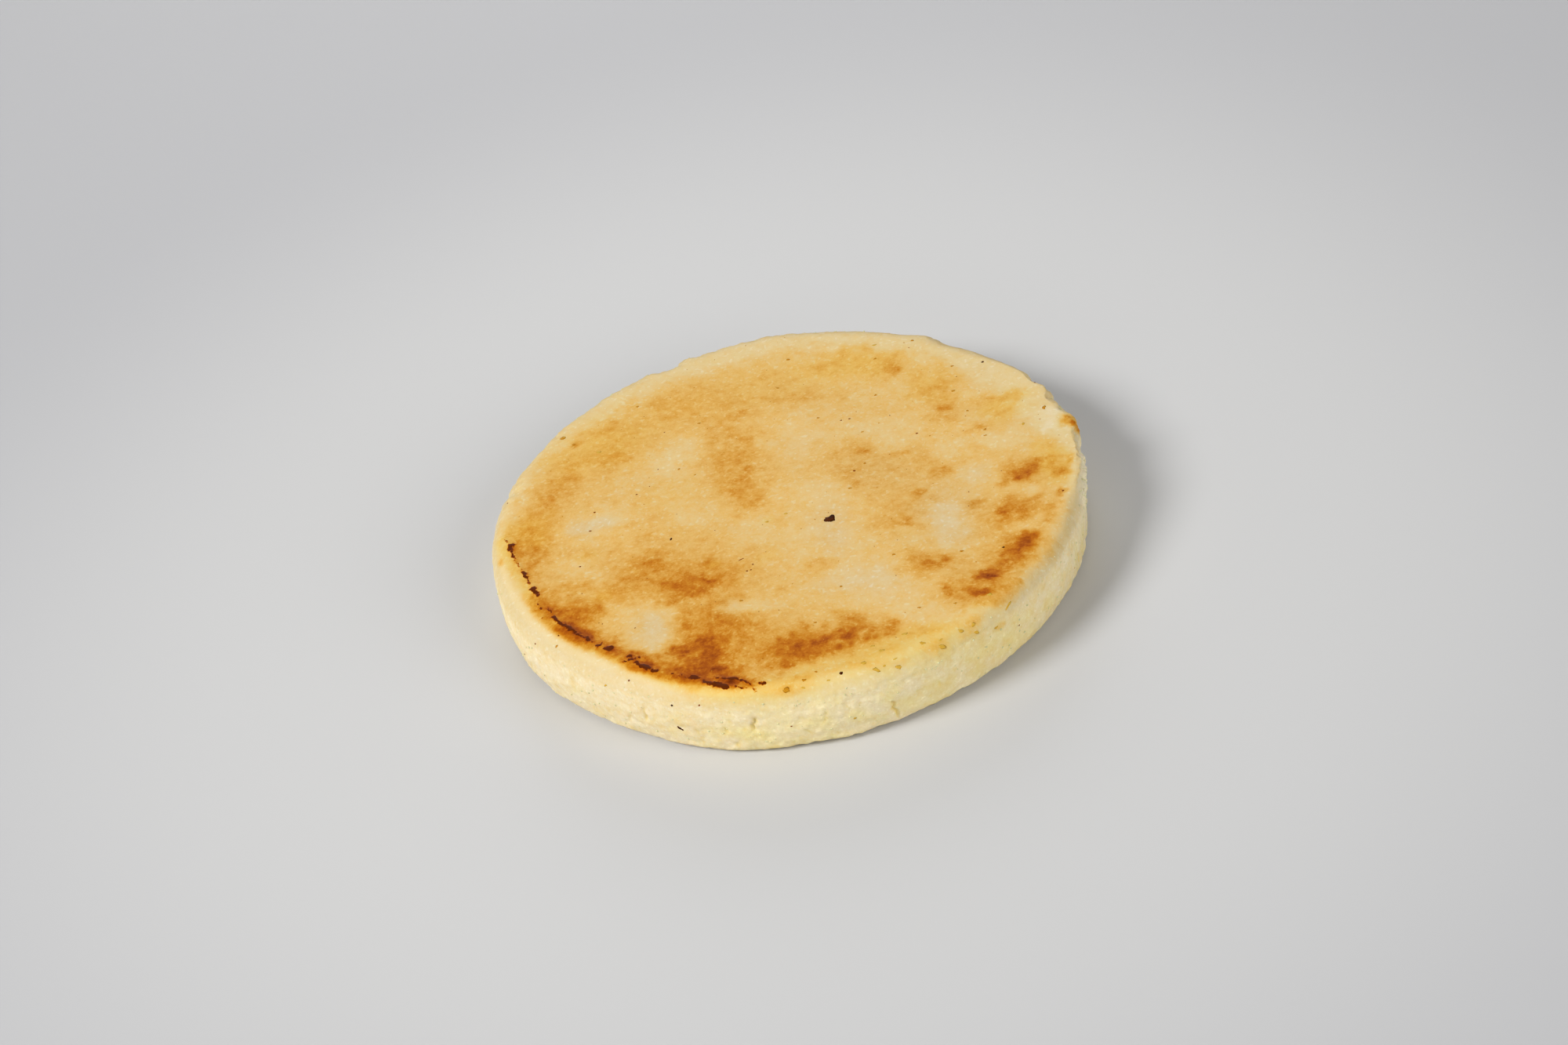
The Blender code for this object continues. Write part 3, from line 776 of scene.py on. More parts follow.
class NodeSheet:
    """Adds nodes to one node tree and joins them, so that a finish reads as a list of steps."""

    def __init__(self, tree: bpy.types.NodeTree) -> None:
        """Keeps the tree that the nodes go into."""
        self.tree = tree

    def add(self, kind: str, **settings: object) -> bpy.types.Node:
        """Adds a node.

        Args:
            kind: Blender's name for the node's type.
            settings: Values for the node's own properties.

        Returns:
            The new node.
        """
        node = self.tree.nodes.new(kind)
        for name, value in settings.items():
            setattr(node, name, value)
        return node

    def put(self, socket: bpy.types.NodeSocket, source: object) -> None:
        """Gives a socket a link or a plain value.

        Args:
            socket: The socket to fill.
            source: The socket that it is linked from, or its value.
        """
        if isinstance(source, bpy.types.NodeSocket):
            self.tree.links.new(source, socket)
        else:
            socket.default_value = source

    def fill(self, node: bpy.types.Node, sources: dict[str, object]) -> None:
        """Gives a node's named sockets their links or plain values."""
        for name, source in sources.items():
            self.put(node.inputs[name], source)

    def group(self, tree: bpy.types.NodeTree, sources: dict[str, object]) -> bpy.types.Node:
        """Places a shader group.

        Args:
            tree: The group's tree.
            sources: The link or plain value of each of its named inputs.

        Returns:
            The group's node.
        """
        node = self.add("ShaderNodeGroup", node_tree=tree)
        self.fill(node, sources)
        return node

    def maths(self, operation: str, first: object, second: object = 0.0, third: object = 0.0,
              clamp: bool = False) -> bpy.types.NodeSocket:
        """Adds a Math node.

        Args:
            operation: What it works out.
            first: The first value or socket.
            second: The second value or socket.
            third: The third value or socket.
            clamp: Whether the result stays from 0 to 1.

        Returns:
            The node's result.
        """
        node = self.add("ShaderNodeMath", operation=operation, use_clamp=clamp)
        for socket, source in zip(node.inputs, (first, second, third)):
            self.put(socket, source)
        return node.outputs[0]

    def rise(self, value: object, start: object, end: object) -> bpy.types.NodeSocket:
        """Adds a smooth rise.

        Args:
            value: The value or socket to read.
            start: Where the rise starts.
            end: Where it is complete.

        Returns:
            A share from 0 to 1.
        """
        node = self.add("ShaderNodeMapRange", interpolation_type="SMOOTHSTEP")
        self.fill(node, {"Value": value, "From Min": start, "From Max": end})
        return node.outputs["Result"]

    def mix(self, share: object, first: object, second: object, blend: str = "MIX") -> bpy.types.NodeSocket:
        """Adds a colour mix.

        Args:
            share: How much of the second colour shows.
            first: The first colour or socket.
            second: The second colour or socket.
            blend: How the two are mixed.

        Returns:
            The mixed colour.
        """
        node = self.add("ShaderNodeMix", data_type="RGBA", blend_type=blend)
        self.put(node.inputs[0], share)
        self.put(node.inputs[6], first)
        self.put(node.inputs[7], second)
        return node.outputs[2]

    def speckle(self, place: object, scale: float, detail: float = 2.0) -> bpy.types.NodeSocket:
        """Adds a noise.

        Args:
            place: Where on the object the shader is.
            scale: How many lumps there are in a metre.
            detail: How many finer layers are added.

        Returns:
            A value from 0 to 1.
        """
        node = self.add("ShaderNodeTexNoise", noise_dimensions="3D")
        self.fill(node, {"Vector": place, "Scale": scale, "Detail": detail})
        return node.outputs["Fac"]

    def attribute(self, name: str) -> bpy.types.NodeSocket:
        """The value that the mesh holds under a name."""
        return self.add("ShaderNodeAttribute", attribute_name=name).outputs["Fac"]

    def colours(self, value: object, stops: list[tuple[float, Colour]]) -> bpy.types.NodeSocket:
        """Adds a colour ramp.

        Args:
            value: The value or socket to read.
            stops: Places from 0 to 1 with their colours.

        Returns:
            The colour at the value.
        """
        node = self.add("ShaderNodeValToRGB")
        self.put(node.inputs["Fac"], value)
        band = node.color_ramp
        while len(band.elements) < len(stops):
            band.elements.new(0.5)
        for element, (place, colour) in zip(band.elements, stops):
            element.position = place
            element.color = colour
        return node.outputs["Color"]


def new_material(name: str) -> tuple[bpy.types.Material, NodeSheet, bpy.types.Node]:
    """Adds a material.

    Args:
        name: The material's name.

    Returns:
        The material, the sheet that its nodes go on, and its shader.
    """
    material = bpy.data.materials.new(name)
    material.use_nodes = True
    return material, NodeSheet(material.node_tree), material.node_tree.nodes["Principled BSDF"]


def new_group(name: str, inputs: dict[str, str], outputs: dict[str, str]) -> bpy.types.NodeTree:
    """Adds a shader group.

    Args:
        name: The group's name.
        inputs: Its inputs, each with the kind of value that it takes.
        outputs: Its outputs, each with the kind of value that it gives.

    Returns:
        The group's tree.
    """
    tree = bpy.data.node_groups.new(name, "ShaderNodeTree")
    for in_out, sockets in (("INPUT", inputs), ("OUTPUT", outputs)):
        for socket, kind in sockets.items():
            tree.interface.new_socket(socket, in_out=in_out, socket_type="NodeSocket" + kind)
    return tree


def add_object(name: str, data: bpy.types.ID) -> bpy.types.Object:
    """Puts a new object in the scene.

    Args:
        name: The object's name.
        data: The mesh, lamp or camera that it holds.

    Returns:
        The object.
    """
    thing = bpy.data.objects.new(name, data)
    bpy.context.scene.collection.objects.link(thing)
    return thing


def add_mesh(name: str, places: Array, faces: list) -> bpy.types.Object:
    """Puts a new smooth mesh in the scene.

    Args:
        name: The mesh's and the object's name.
        places: Its points, one row each.
        faces: Its faces, as indices into the points.

    Returns:
        The mesh's object.
    """
    mesh = bpy.data.meshes.new(name)
    mesh.from_pydata(places.tolist(), [], faces)
    mesh.shade_smooth()
    log.info("%s: %d points, %d faces", name, len(places), len(faces))
    return add_object(name, mesh)


@dataclass(frozen=True)
class FloorFinish:
    """The plain pale floor, a little darker away from the disc."""

    name: str = "pale_floor"
    near_colour: Colour = (0.55, 0.548, 0.544, 1.0)
    far_colour: Colour = (0.445, 0.445, 0.455, 1.0)
    near_reach: float = 0.085
    far_reach: float = 0.21
    roughness: float = 0.55

    def make(self) -> bpy.types.Material:
        """Makes the floor's material.

        Returns:
            The material.
        """
        material, sheet, shader = new_material(self.name)
        length = sheet.add("ShaderNodeVectorMath", operation="LENGTH")
        sheet.put(length.inputs[0], sheet.add("ShaderNodeTexCoord").outputs["Object"])
        away = sheet.rise(length.outputs["Value"], self.near_reach, self.far_reach)
        colour = sheet.mix(away, self.near_colour, self.far_colour)
        sheet.fill(shader, {"Base Color": colour, "Roughness": self.roughness})
        return material


@dataclass(frozen=True)
class Effects:
    """Shader groups that the arepa's finishes share."""

    seen: tuple = (
        (-0.35, (251, 236, 198)),
        (-0.20, (236, 220, 181)),
        (0.00, (230, 203, 145)),
        (0.15, (230, 186, 107)),
        (0.30, (221, 164, 72)),
        (0.45, (206, 135, 35)),
        (0.60, (191, 108, 16)),
        (0.75, (168, 84, 11)),
        (0.92, (148, 68, 8)),
        (1.08, (116, 48, 5)),
        (1.30, (46, 20, 3)),
    )
    light_share: float = 0.85
    yellow: Colour = (1.0, 0.98, 0.70, 1.0)
    grey: Colour = (0.92, 0.985, 1.26, 1.0)
    tint_full: float = 1.3
    grain_scales: tuple = ((2600.0, 2.0), (1100.0, 3.0), (480.0, 2.0))
    fleck_scale: float = 1500.0
    fleck_detail: float = 0.0
    fleck_rise: tuple = (0.66, 0.76)

    def browning(self) -> bpy.types.NodeTree:
        """Makes the group that turns a browning level into the crust's colour.

        Returns:
            The group's tree.
        """
        tree = new_group("crust_browning", {"Level": "Float", "Yellow": "Float"}, {"Colour": "Color"})
        sheet = NodeSheet(tree)
        given = sheet.add("NodeGroupInput").outputs
        low, high = self.seen[0][0], self.seen[-1][0]
        span = high - low
        share = sheet.maths("MULTIPLY_ADD", given["Level"], 1.0 / span, -low / span, clamp=True)
        stops = []
        for place, colour in self.seen:
            dimmed = tuple(channel * self.light_share for channel in linear(*colour)[:3])
            stops.append(((place - low) / span, (*dimmed, 1.0)))
        tinted = sheet.colours(share, stops)
        for full, tint in ((self.tint_full, self.yellow), (-self.tint_full, self.grey)):
            shade = sheet.mix(sheet.rise(given["Yellow"], 0.0, full), WHITE, tint)
            tinted = sheet.mix(1.0, tinted, shade, "MULTIPLY")
        sheet.fill(sheet.add("NodeGroupOutput"), {"Colour": tinted})
        return tree

    def grain(self) -> bpy.types.NodeTree:
        """Makes the group of the cornmeal grain.

        Returns:
            The group's tree, which gives masks for the colours and a height for the bumps.
        """
        outputs = dict.fromkeys(("Speckle", "Height", "Mottle", "Flecks"), "Float")
        tree = new_group("cornmeal_grain", {"Place": "Vector", "Fine": "Float", "Coarse": "Float"}, outputs)
        sheet = NodeSheet(tree)
        given = sheet.add("NodeGroupInput").outputs
        fine, meal, lumpy = (sheet.speckle(given["Place"], *scale) for scale in self.grain_scales)
        flecks = sheet.speckle(given["Place"], self.fleck_scale, self.fleck_detail)
        flecks = sheet.rise(flecks, *self.fleck_rise)
        speckle = sheet.maths("ADD", sheet.maths("MULTIPLY", fine, 0.5), sheet.maths("MULTIPLY", meal, 0.5))
        rough = sheet.maths("MULTIPLY", lumpy, given["Coarse"])
        height = sheet.maths("ADD", sheet.maths("MULTIPLY", speckle, given["Fine"]), rough)
        results = {"Speckle": speckle, "Height": height, "Mottle": lumpy, "Flecks": flecks}
        sheet.fill(sheet.add("NodeGroupOutput"), results)
        return tree


@dataclass(frozen=True)
class CrustFinish:
    """The griddled crust: a satin browned top, a glossy shoulder with a painted shade, and a matte crumbly side.
    """

    effects: Effects
    name: str = "griddled_crust"
    grain_level: float = 0.09
    grain_growth: float = 0.40
    mottle_growth: float = 0.42
    side_grain: float = 0.22
    least_mottle: float = 0.06
    side_mottle: float = 0.14
    top_calm: float = 0.50
    side_fine: float = 1.5
    side_coarse: float = 2.3
    fleck_level: float = -0.09
    char_level: float = 1.17
    char_scale: float = 1700.0
    char_detail: float = 3.0
    char_broken: tuple = (0.9, -0.45)
    char_rise: tuple = (-0.08, 0.16)
    # Cracks and pores are painted browner, a painted shade in the hollows, and yellower.
    crack_painted_shade: float = 0.18
    deep_yellow: float = 1.3
    # Painted shade: the shoulder's colour is multiplied darker, between these shares of the side value.
    shoulder_painted_shade: Colour = (0.915, 0.925, 0.95, 1.0)
    painted_shade_from: tuple = (0.02, 0.25)
    painted_shade_to: tuple = (1.0, 0.75)
    specular: float = 0.03
    top_roughness: float = 0.50
    shoulder_roughness: float = 0.44
    side_roughness: float = 0.68
    shoulder_rise: tuple = (0.05, 0.3)
    side_rise: tuple = (0.55, 0.95)
    uneven_roughness: float = 0.5
    bump: float = 0.22
    bump_distance: float = 0.12 * MM
    soft_weight: float = 0.10
    soft_radius: tuple = (1.0, 0.45, 0.18)
    soft_scale: float = 1.6 * MM

    def make(self, colours: bpy.types.NodeTree) -> bpy.types.Material:
        """Makes the crust's material.

        Args:
            colours: The group that turns a browning level into a colour.

        Returns:
            The material.
        """
        material, sheet, shader = new_material(self.name)
        place = sheet.add("ShaderNodeTexCoord").outputs["Object"]
        side, deep = sheet.attribute("side"), sheet.attribute("deep")
        fine = sheet.maths("MULTIPLY_ADD", side, self.side_fine - self.top_calm, self.top_calm)
        coarse = sheet.maths("MULTIPLY", side, self.side_coarse)
        grain = sheet.group(self.effects.grain(), {"Place": place, "Fine": fine, "Coarse": coarse})
        # Painted shade: the cracks and pores are browned by their depth.
        level = sheet.maths("MULTIPLY_ADD", deep, self.crack_painted_shade, self.grained(sheet, grain, side))
        to_char = sheet.maths("SUBTRACT", self.char_level, level)
        level = sheet.maths("ADD", level, sheet.maths("MULTIPLY", to_char, self.char_mask(sheet, place)))
        yellow = sheet.maths("MULTIPLY_ADD", deep, self.deep_yellow, sheet.attribute("yellow"))
        colour = sheet.group(colours, {"Level": level, "Yellow": yellow}).outputs["Colour"]
        # Painted shade on the shoulder: its colour is darkened between the flat top and the side.
        risen, fallen = sheet.rise(side, *self.painted_shade_from), sheet.rise(side, *self.painted_shade_to)
        shoulder = sheet.maths("MULTIPLY", risen, fallen)
        bump = sheet.add("ShaderNodeBump")
        sheet.fill(bump, {
            "Strength": self.bump, "Distance": self.bump_distance, "Height": grain.outputs["Height"],
        })
        sheet.fill(shader, {
            "Base Color": sheet.mix(shoulder, colour, self.shoulder_painted_shade, "MULTIPLY"),
            "Specular IOR Level": self.specular,
            "Roughness": self.roughness(sheet, side, grain.outputs["Speckle"]),
            "Normal": bump.outputs["Normal"],
            "Subsurface Weight": self.soft_weight,
            "Subsurface Radius": self.soft_radius,
            "Subsurface Scale": self.soft_scale,
        })
        return material

    def grained(self, sheet: NodeSheet, grain: bpy.types.Node,
                side: bpy.types.NodeSocket) -> bpy.types.NodeSocket:
        """Gives the browning level its cornmeal grain, which is stronger where the crust is browner.

        Args:
            sheet: The material's nodes.
            grain: The node of the grain's group.
            side: 0 on the top and 1 on the side.

        Returns:
            The level with its grain.
        """
        toast = sheet.attribute("toast")
        browned = sheet.maths("MAXIMUM", toast, 0.0)
        strength = sheet.maths("MULTIPLY_ADD", browned, self.grain_growth * 2.0, self.grain_level * 2.0)
        strength = sheet.maths("MULTIPLY_ADD", side, self.side_grain, strength)
        speckle = sheet.maths("SUBTRACT", grain.outputs["Speckle"], 0.5)
        level = sheet.maths("MULTIPLY_ADD", speckle, strength, toast)
        swing = sheet.maths("MULTIPLY_ADD", browned, self.mottle_growth * 2.0, self.least_mottle)
        swing = sheet.maths("MULTIPLY_ADD", side, self.side_mottle, swing)
        mottle = sheet.maths("SUBTRACT", grain.outputs["Mottle"], 0.5)
        level = sheet.maths("MULTIPLY_ADD", mottle, swing, level)
        return sheet.maths("MULTIPLY_ADD", grain.outputs["Flecks"], self.fleck_level, level)

    def char_mask(self, sheet: NodeSheet, place: bpy.types.NodeSocket) -> bpy.types.NodeSocket:
        """Breaks the charred line up.

        Args:
            sheet: The material's nodes.
            place: Where on the disc the shader is.

        Returns:
            1 on the char and 0 off it.
        """
        speckle = sheet.speckle(place, self.char_scale, self.char_detail)
        broken = sheet.maths("MULTIPLY_ADD", speckle, *self.char_broken)
        inside = sheet.maths("ADD", sheet.attribute("char"), broken)
        return sheet.rise(inside, *self.char_rise)

    def roughness(self, sheet: NodeSheet, side: bpy.types.NodeSocket,
                  speckle: bpy.types.NodeSocket) -> bpy.types.NodeSocket:
        """How rough each place is.

        Args:
            sheet: The material's nodes.
            side: 0 on the top and 1 on the side.
            speckle: The grain's speckle.

        Returns:
            The roughness.
        """
        to_shoulder, to_side = sheet.rise(side, *self.shoulder_rise), sheet.rise(side, *self.side_rise)
        calmer = self.shoulder_roughness - self.top_roughness
        value = sheet.maths("MULTIPLY_ADD", to_shoulder, calmer, self.top_roughness)
        value = sheet.maths("MULTIPLY_ADD", to_side, self.side_roughness - self.shoulder_roughness, value)
        uneven = sheet.maths("SUBTRACT", speckle, 0.5)
        return sheet.maths("MULTIPLY_ADD", uneven, self.uneven_roughness, value, clamp=True)


@dataclass
class ArepaBody:
    """The whole disc as one fine mesh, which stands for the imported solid."""

    NODE: ClassVar[str] = "arepa"

    form: DiscForm
    relief: EdgeRelief
    browning: Browning
    name: str = "arepa_crust"
    rim_count: int = 1024
    counts: tuple = ((41.0, 1024), (22.0, 512), (11.0, 256), (5.5, 128), (2.8, 64), (1.3, 32), (0.0, 16))
    fine_band: float = 5.0 * MM
    inner_steps: int = 66
    outer_steps: int = 16
    shoulder_steps: int = 20
    side_steps: int = 24
    foot_shares: tuple = (0.12, 0.3, 0.6, 1.0)
    under_steps: int = 26
    box_margin: float = 0.02 * MM
    top_margin: float = 0.09 * MM
    shift: Array | None = None
    crust: bpy.types.Object | None = None

    def rings(self) -> list[Ring]:
        """Lays out the rings of the mesh.

        Returns:
            The rings, from the middle of the top round the edge to the middle of the underside.
        """
        form = self.form
        inner_reach = form.flat_edge - self.fine_band
        inner = np.linspace(0.0, inner_reach, self.inner_steps + 1)[1:]
        outer = np.linspace(inner_reach, form.flat_edge, self.outer_steps + 1)[1:-1]
        rings = [Ring(reach, form.thickness, self.count_at(reach)) for reach in (*inner, *outer)]
        for turn in np.linspace(0.0, math.pi / 2.0, self.shoulder_steps + 1):
            reach = form.flat_edge + form.shoulder_width * math.sin(turn)
            rings.append(Ring(reach, form.side_top + form.shoulder_drop * math.cos(turn), self.rim_count))
        for share in np.linspace(0.0, 1.0, self.side_steps + 1)[1:]:
            reach = form.radius - form.foot_inset * share ** 2 + form.belly * math.sin(math.pi * share)
            height = form.side_top + (form.foot_height - form.side_top) * share
            rings.append(Ring(reach, height, self.rim_count))
        foot = form.radius - form.foot_inset
        for share in self.foot_shares:
            drop = 1.0 - (1.0 - share) ** 2
            height = form.foot_height * (1.0 - drop)
            rings.append(Ring(foot - form.underside_inset * share, height, self.rim_count))
        under_edge = foot - form.underside_inset
        for reach in np.linspace(under_edge, 0.0, self.under_steps + 1)[1:-1]:
            rings.append(Ring(reach, 0.0, self.count_at(reach) // 2))
        return rings

    def count_at(self, reach: float) -> int:
        """How many points a ring of the flat faces has, at a distance from the axis."""
        return next(count for limit, count in self.counts if reach > limit * MM)

    def build(self) -> bpy.types.Object:
        """Makes the mesh with the values that its finish reads.

        Returns:
            The disc's object.
        """
        rings = self.rings()
        turned, faces = self.turned_points(rings), self.ring_faces(rings)
        reach = np.hypot(turned[:, 0], turned[:, 1])
        angle = directions(turned)
        places = self.form.patted(turned)
        values = self.finish_values(turned, places, angle)
        places = self.fitted(self.add_relief(turned, places, angle, reach, values))
        self.crust = add_mesh(self.name, places, faces)
        for name, numbers in values.items():
            attribute = self.crust.data.attributes.new(name, "FLOAT", "POINT")
            attribute.data.foreach_set("value", numbers.astype(np.float32))
        return self.crust

    @staticmethod
    def turned_points(rings: list[Ring]) -> Array:
        """Places the points of the turned disc.

        Args:
            rings: The rings in order.

        Returns:
            The top's middle, every ring's points and the underside's middle.
        """
        points = [np.array([[0.0, 0.0, rings[0].height]])]
        for ring in rings:
            turn = np.arange(ring.count) * math.tau / ring.count
            heights = np.full(ring.count, ring.height)
            points.append(np.column_stack([ring.reach * np.cos(turn), ring.reach * np.sin(turn), heights]))
        points.append(np.array([[0.0, 0.0, 0.0]]))
        return np.vstack(points)

    @staticmethod
    def ring_faces(rings: list[Ring]) -> list[tuple[int, ...]]:
        """The faces between neighbouring rings, which may have equal counts or twice as many points.

        Args:
            rings: The rings in order.

        Returns:
            Faces as indices into the turned points, all facing out.
        """
        faces: list[tuple[int, ...]] = []
        start = 1
        first = rings[0]
        faces += [(0, start + i, start + (i + 1) % first.count) for i in range(first.count)]
        for upper, lower in zip(rings, rings[1:]):
            below = start + upper.count
            if upper.count == lower.count:
                for i in range(upper.count):
                    j = (i + 1) % upper.count
                    faces.append((start + i, below + i, below + j, start + j))
            elif upper.count < lower.count:
                for i in range(upper.count):
                    j = (i + 1) % upper.count
                    near, far = below + 2 * i, below + (2 * i + 2) % lower.count
                    faces += [(start + i, near, near + 1), (start + i, near + 1, start + j)]
                    faces.append((start + j, near + 1, far))
            else:
                for i in range(lower.count):
                    j = (i + 1) % lower.count
                    near, far = start + 2 * i, start + (2 * i + 2) % upper.count
                    faces += [(near, below + i, near + 1), (near + 1, below + i, below + j)]
                    faces.append((near + 1, below + j, far))
            start = below
        last = rings[-1]
        end = start + last.count
        faces += [(end, start + (i + 1) % last.count, start + i) for i in range(last.count)]
        return faces

    def finish_values(self, turned: Array, places: Array, angle: Array) -> dict[str, Array]:
        """Works out the values that the finish reads at each point.

        Args:
            turned: Points of the turned disc.
            places: The same points on the patted disc.
            angle: Their directions in degrees.

        Returns:
            Named values, one for each point.
        """
        form, browning = self.form, self.browning
        height = turned[:, 2]
        under = height < ON_GROUND
        side = np.where(under, 0.0, ramp(form.thickness - height, 0.0, form.shoulder_drop))
        top_full = form.side_top + browning.top_from
        top = ramp(height, form.side_top + browning.side_from, top_full)
        near_top = ramp(height, form.side_top - browning.scorch_from, form.thickness - browning.scorch_full)
        scorch, glow = browning.halo(places)
        level = browning.side_level + (browning.level(places) - browning.side_level) * top
        for swing, size in browning.side_mottle:
            level += swing * (1.0 - top) * lumps(turned / MM, size)
        # The edge spots include painted light: two pale spots on the side.
        level = browning.spotted(level + scorch * near_top, angle, turned, browning.edge_spots)
        mean, broad, broad_size, fine, fine_size = browning.underside
        flat = places / MM
        level = np.where(under, mean + broad * lumps(flat, broad_size) + fine * lumps(flat, fine_size), level)
        swing, size, shift = browning.side_tint_mottle
        tint = np.interp(angle, *np.array(browning.side_yellow).T) + swing * lumps(turned / MM + shift, size)
        tint += (browning.yellow(places) - tint) * ramp(height, form.side_top + browning.tint_from, top_full)
        tint = browning.spotted(tint + glow * near_top, angle, turned, browning.tint_spots)
        char = browning.char(places) - (1.0 - near_top) * browning.char_side_drop
        return {"toast": level, "side": side, "char": char, "yellow": tint, "deep": np.zeros_like(angle)}

    def add_relief(self, turned: Array, places: Array, angle: Array, reach: Array,
                   values: dict[str, Array]) -> Array:
        """Adds the fine relief and notes how deep it is.

        Args:
            turned: Points of the turned disc.
            places: The same points on the patted disc.
            angle: Their directions in degrees.
            reach: Their distances from the axis on the turned disc.
            values: The finish's values, of which "deep" is filled in.

        Returns:
            The points with their relief.
        """
        form, relief = self.form, self.relief
        height = turned[:, 2]
        edge = form.edge_share(reach) * ramp(height, 0.0, relief.edge_foot)
        below, above = relief.side_ends
        side = edge * (1.0 - ramp(height, form.side_top - below, form.thickness - above))
        out = np.zeros_like(angle)
        for depth, size in relief.crumb_layers:
            out += depth * lumps(turned, size) * (relief.crumb_on_edge * edge + relief.crumb_on_side * side)
        flaked = edge * sum_of_humps(angle, relief.flake_arcs) * ramp(height, *relief.flake_band)
        for depth, size in relief.flake_layers:
            out += flaked * depth * np.clip(lumps(turned + relief.flake_shift, size), *relief.flake_most)
        toothed = edge * sum_of_humps(angle, (relief.tooth_arc,)) * ramp(height, *relief.tooth_band)
        for depth, size in relief.tooth_layers:
            out += toothed * depth * (relief.tooth_middle - np.abs(lumps(turned - relief.flake_shift, size)))
        foot = edge * (1.0 - ramp(height, relief.foot_rag_top / 2.0, relief.foot_rag_top))
        ragged = foot * lumps(laid_flat(turned), relief.foot_rag_size)
        cracks = relief.crack_share(angle, height, reach)
        cuts = side * np.maximum(cracks, relief.pore_share(angle, height, reach, form))
        values["deep"][:] = np.clip(cuts / relief.deepest, 0.0, 1.0)
        out += relief.foot_rag_depth * ragged
        out -= cuts
        turn = np.radians(angle)
        moved = places.copy()
        moved[:, 0] += out * np.cos(turn)
        moved[:, 1] += out * np.sin(turn)
        moved[:, 2] = np.maximum(moved[:, 2] + relief.foot_rag_lift * ragged, 0.0)
        top = ramp(height, form.side_top, form.thickness)
        for depth, size in relief.top_layers:
            moved[:, 2] += top * depth * lumps(turned, size)
        charred = ramp(values["char"], *relief.char_rise)
        moved[:, 2] += relief.char_height * charred * (1.0 + lumps(turned, relief.char_size))
        return moved

    def fitted(self, places: Array) -> Array:
        """Gives the disc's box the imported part's middle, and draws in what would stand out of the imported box.

        Args:
            places: The points in the turned frame.

        Returns:
            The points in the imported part's frame.
        """
        low, high = places.min(0), places.max(0)
        room = np.array(CAD_HIGH - CAD_LOW) - np.array([self.box_margin, self.box_margin, self.top_margin])
        scale = np.minimum(1.0, room / (high - low))
        own, packed = (low + high) / 2.0, np.array((CAD_LOW + CAD_HIGH) / 2.0)
        self.shift = np.array([packed[0] - own[0], packed[1] - own[1], 0.0])
        own[2] = 0.0
        return own + (places - own) * scale + self.shift


class SpeckKind(Enum):
    """The kinds of speck: each one's piece, browning level, yellow and how proud it stands."""

    CHARRED = ("charred_specks", 1.24, 0.8, 0.08)
    HUSK = ("husk_specks", 0.98, 1.2, 0.05)
    BROWN = ("brown_specks", 0.44, 1.2, 0.02)
    GOLDEN = ("golden_specks", 0.26, 1.4, 0.02)
    MEAL = ("meal_crumbs", -0.16, -0.4, 0.75)

    def __init__(self, piece: str, level: float, yellow: float, proud: float) -> None:
        """Names the kind's values."""
        self.piece, self.level, self.yellow, self.proud = piece, level, yellow, proud


@dataclass(frozen=True)
class Speck:
    """One speck: where it lies, its half-sizes and its turn, in millimetres and degrees.

    On the top its place is x and y in the turned frame. On the edge it is a direction and a height.
    """

    kind: SpeckKind
    first: float
    second: float
    long: float
    wide: float
    turn: float = 0.0
    on_edge: bool = False


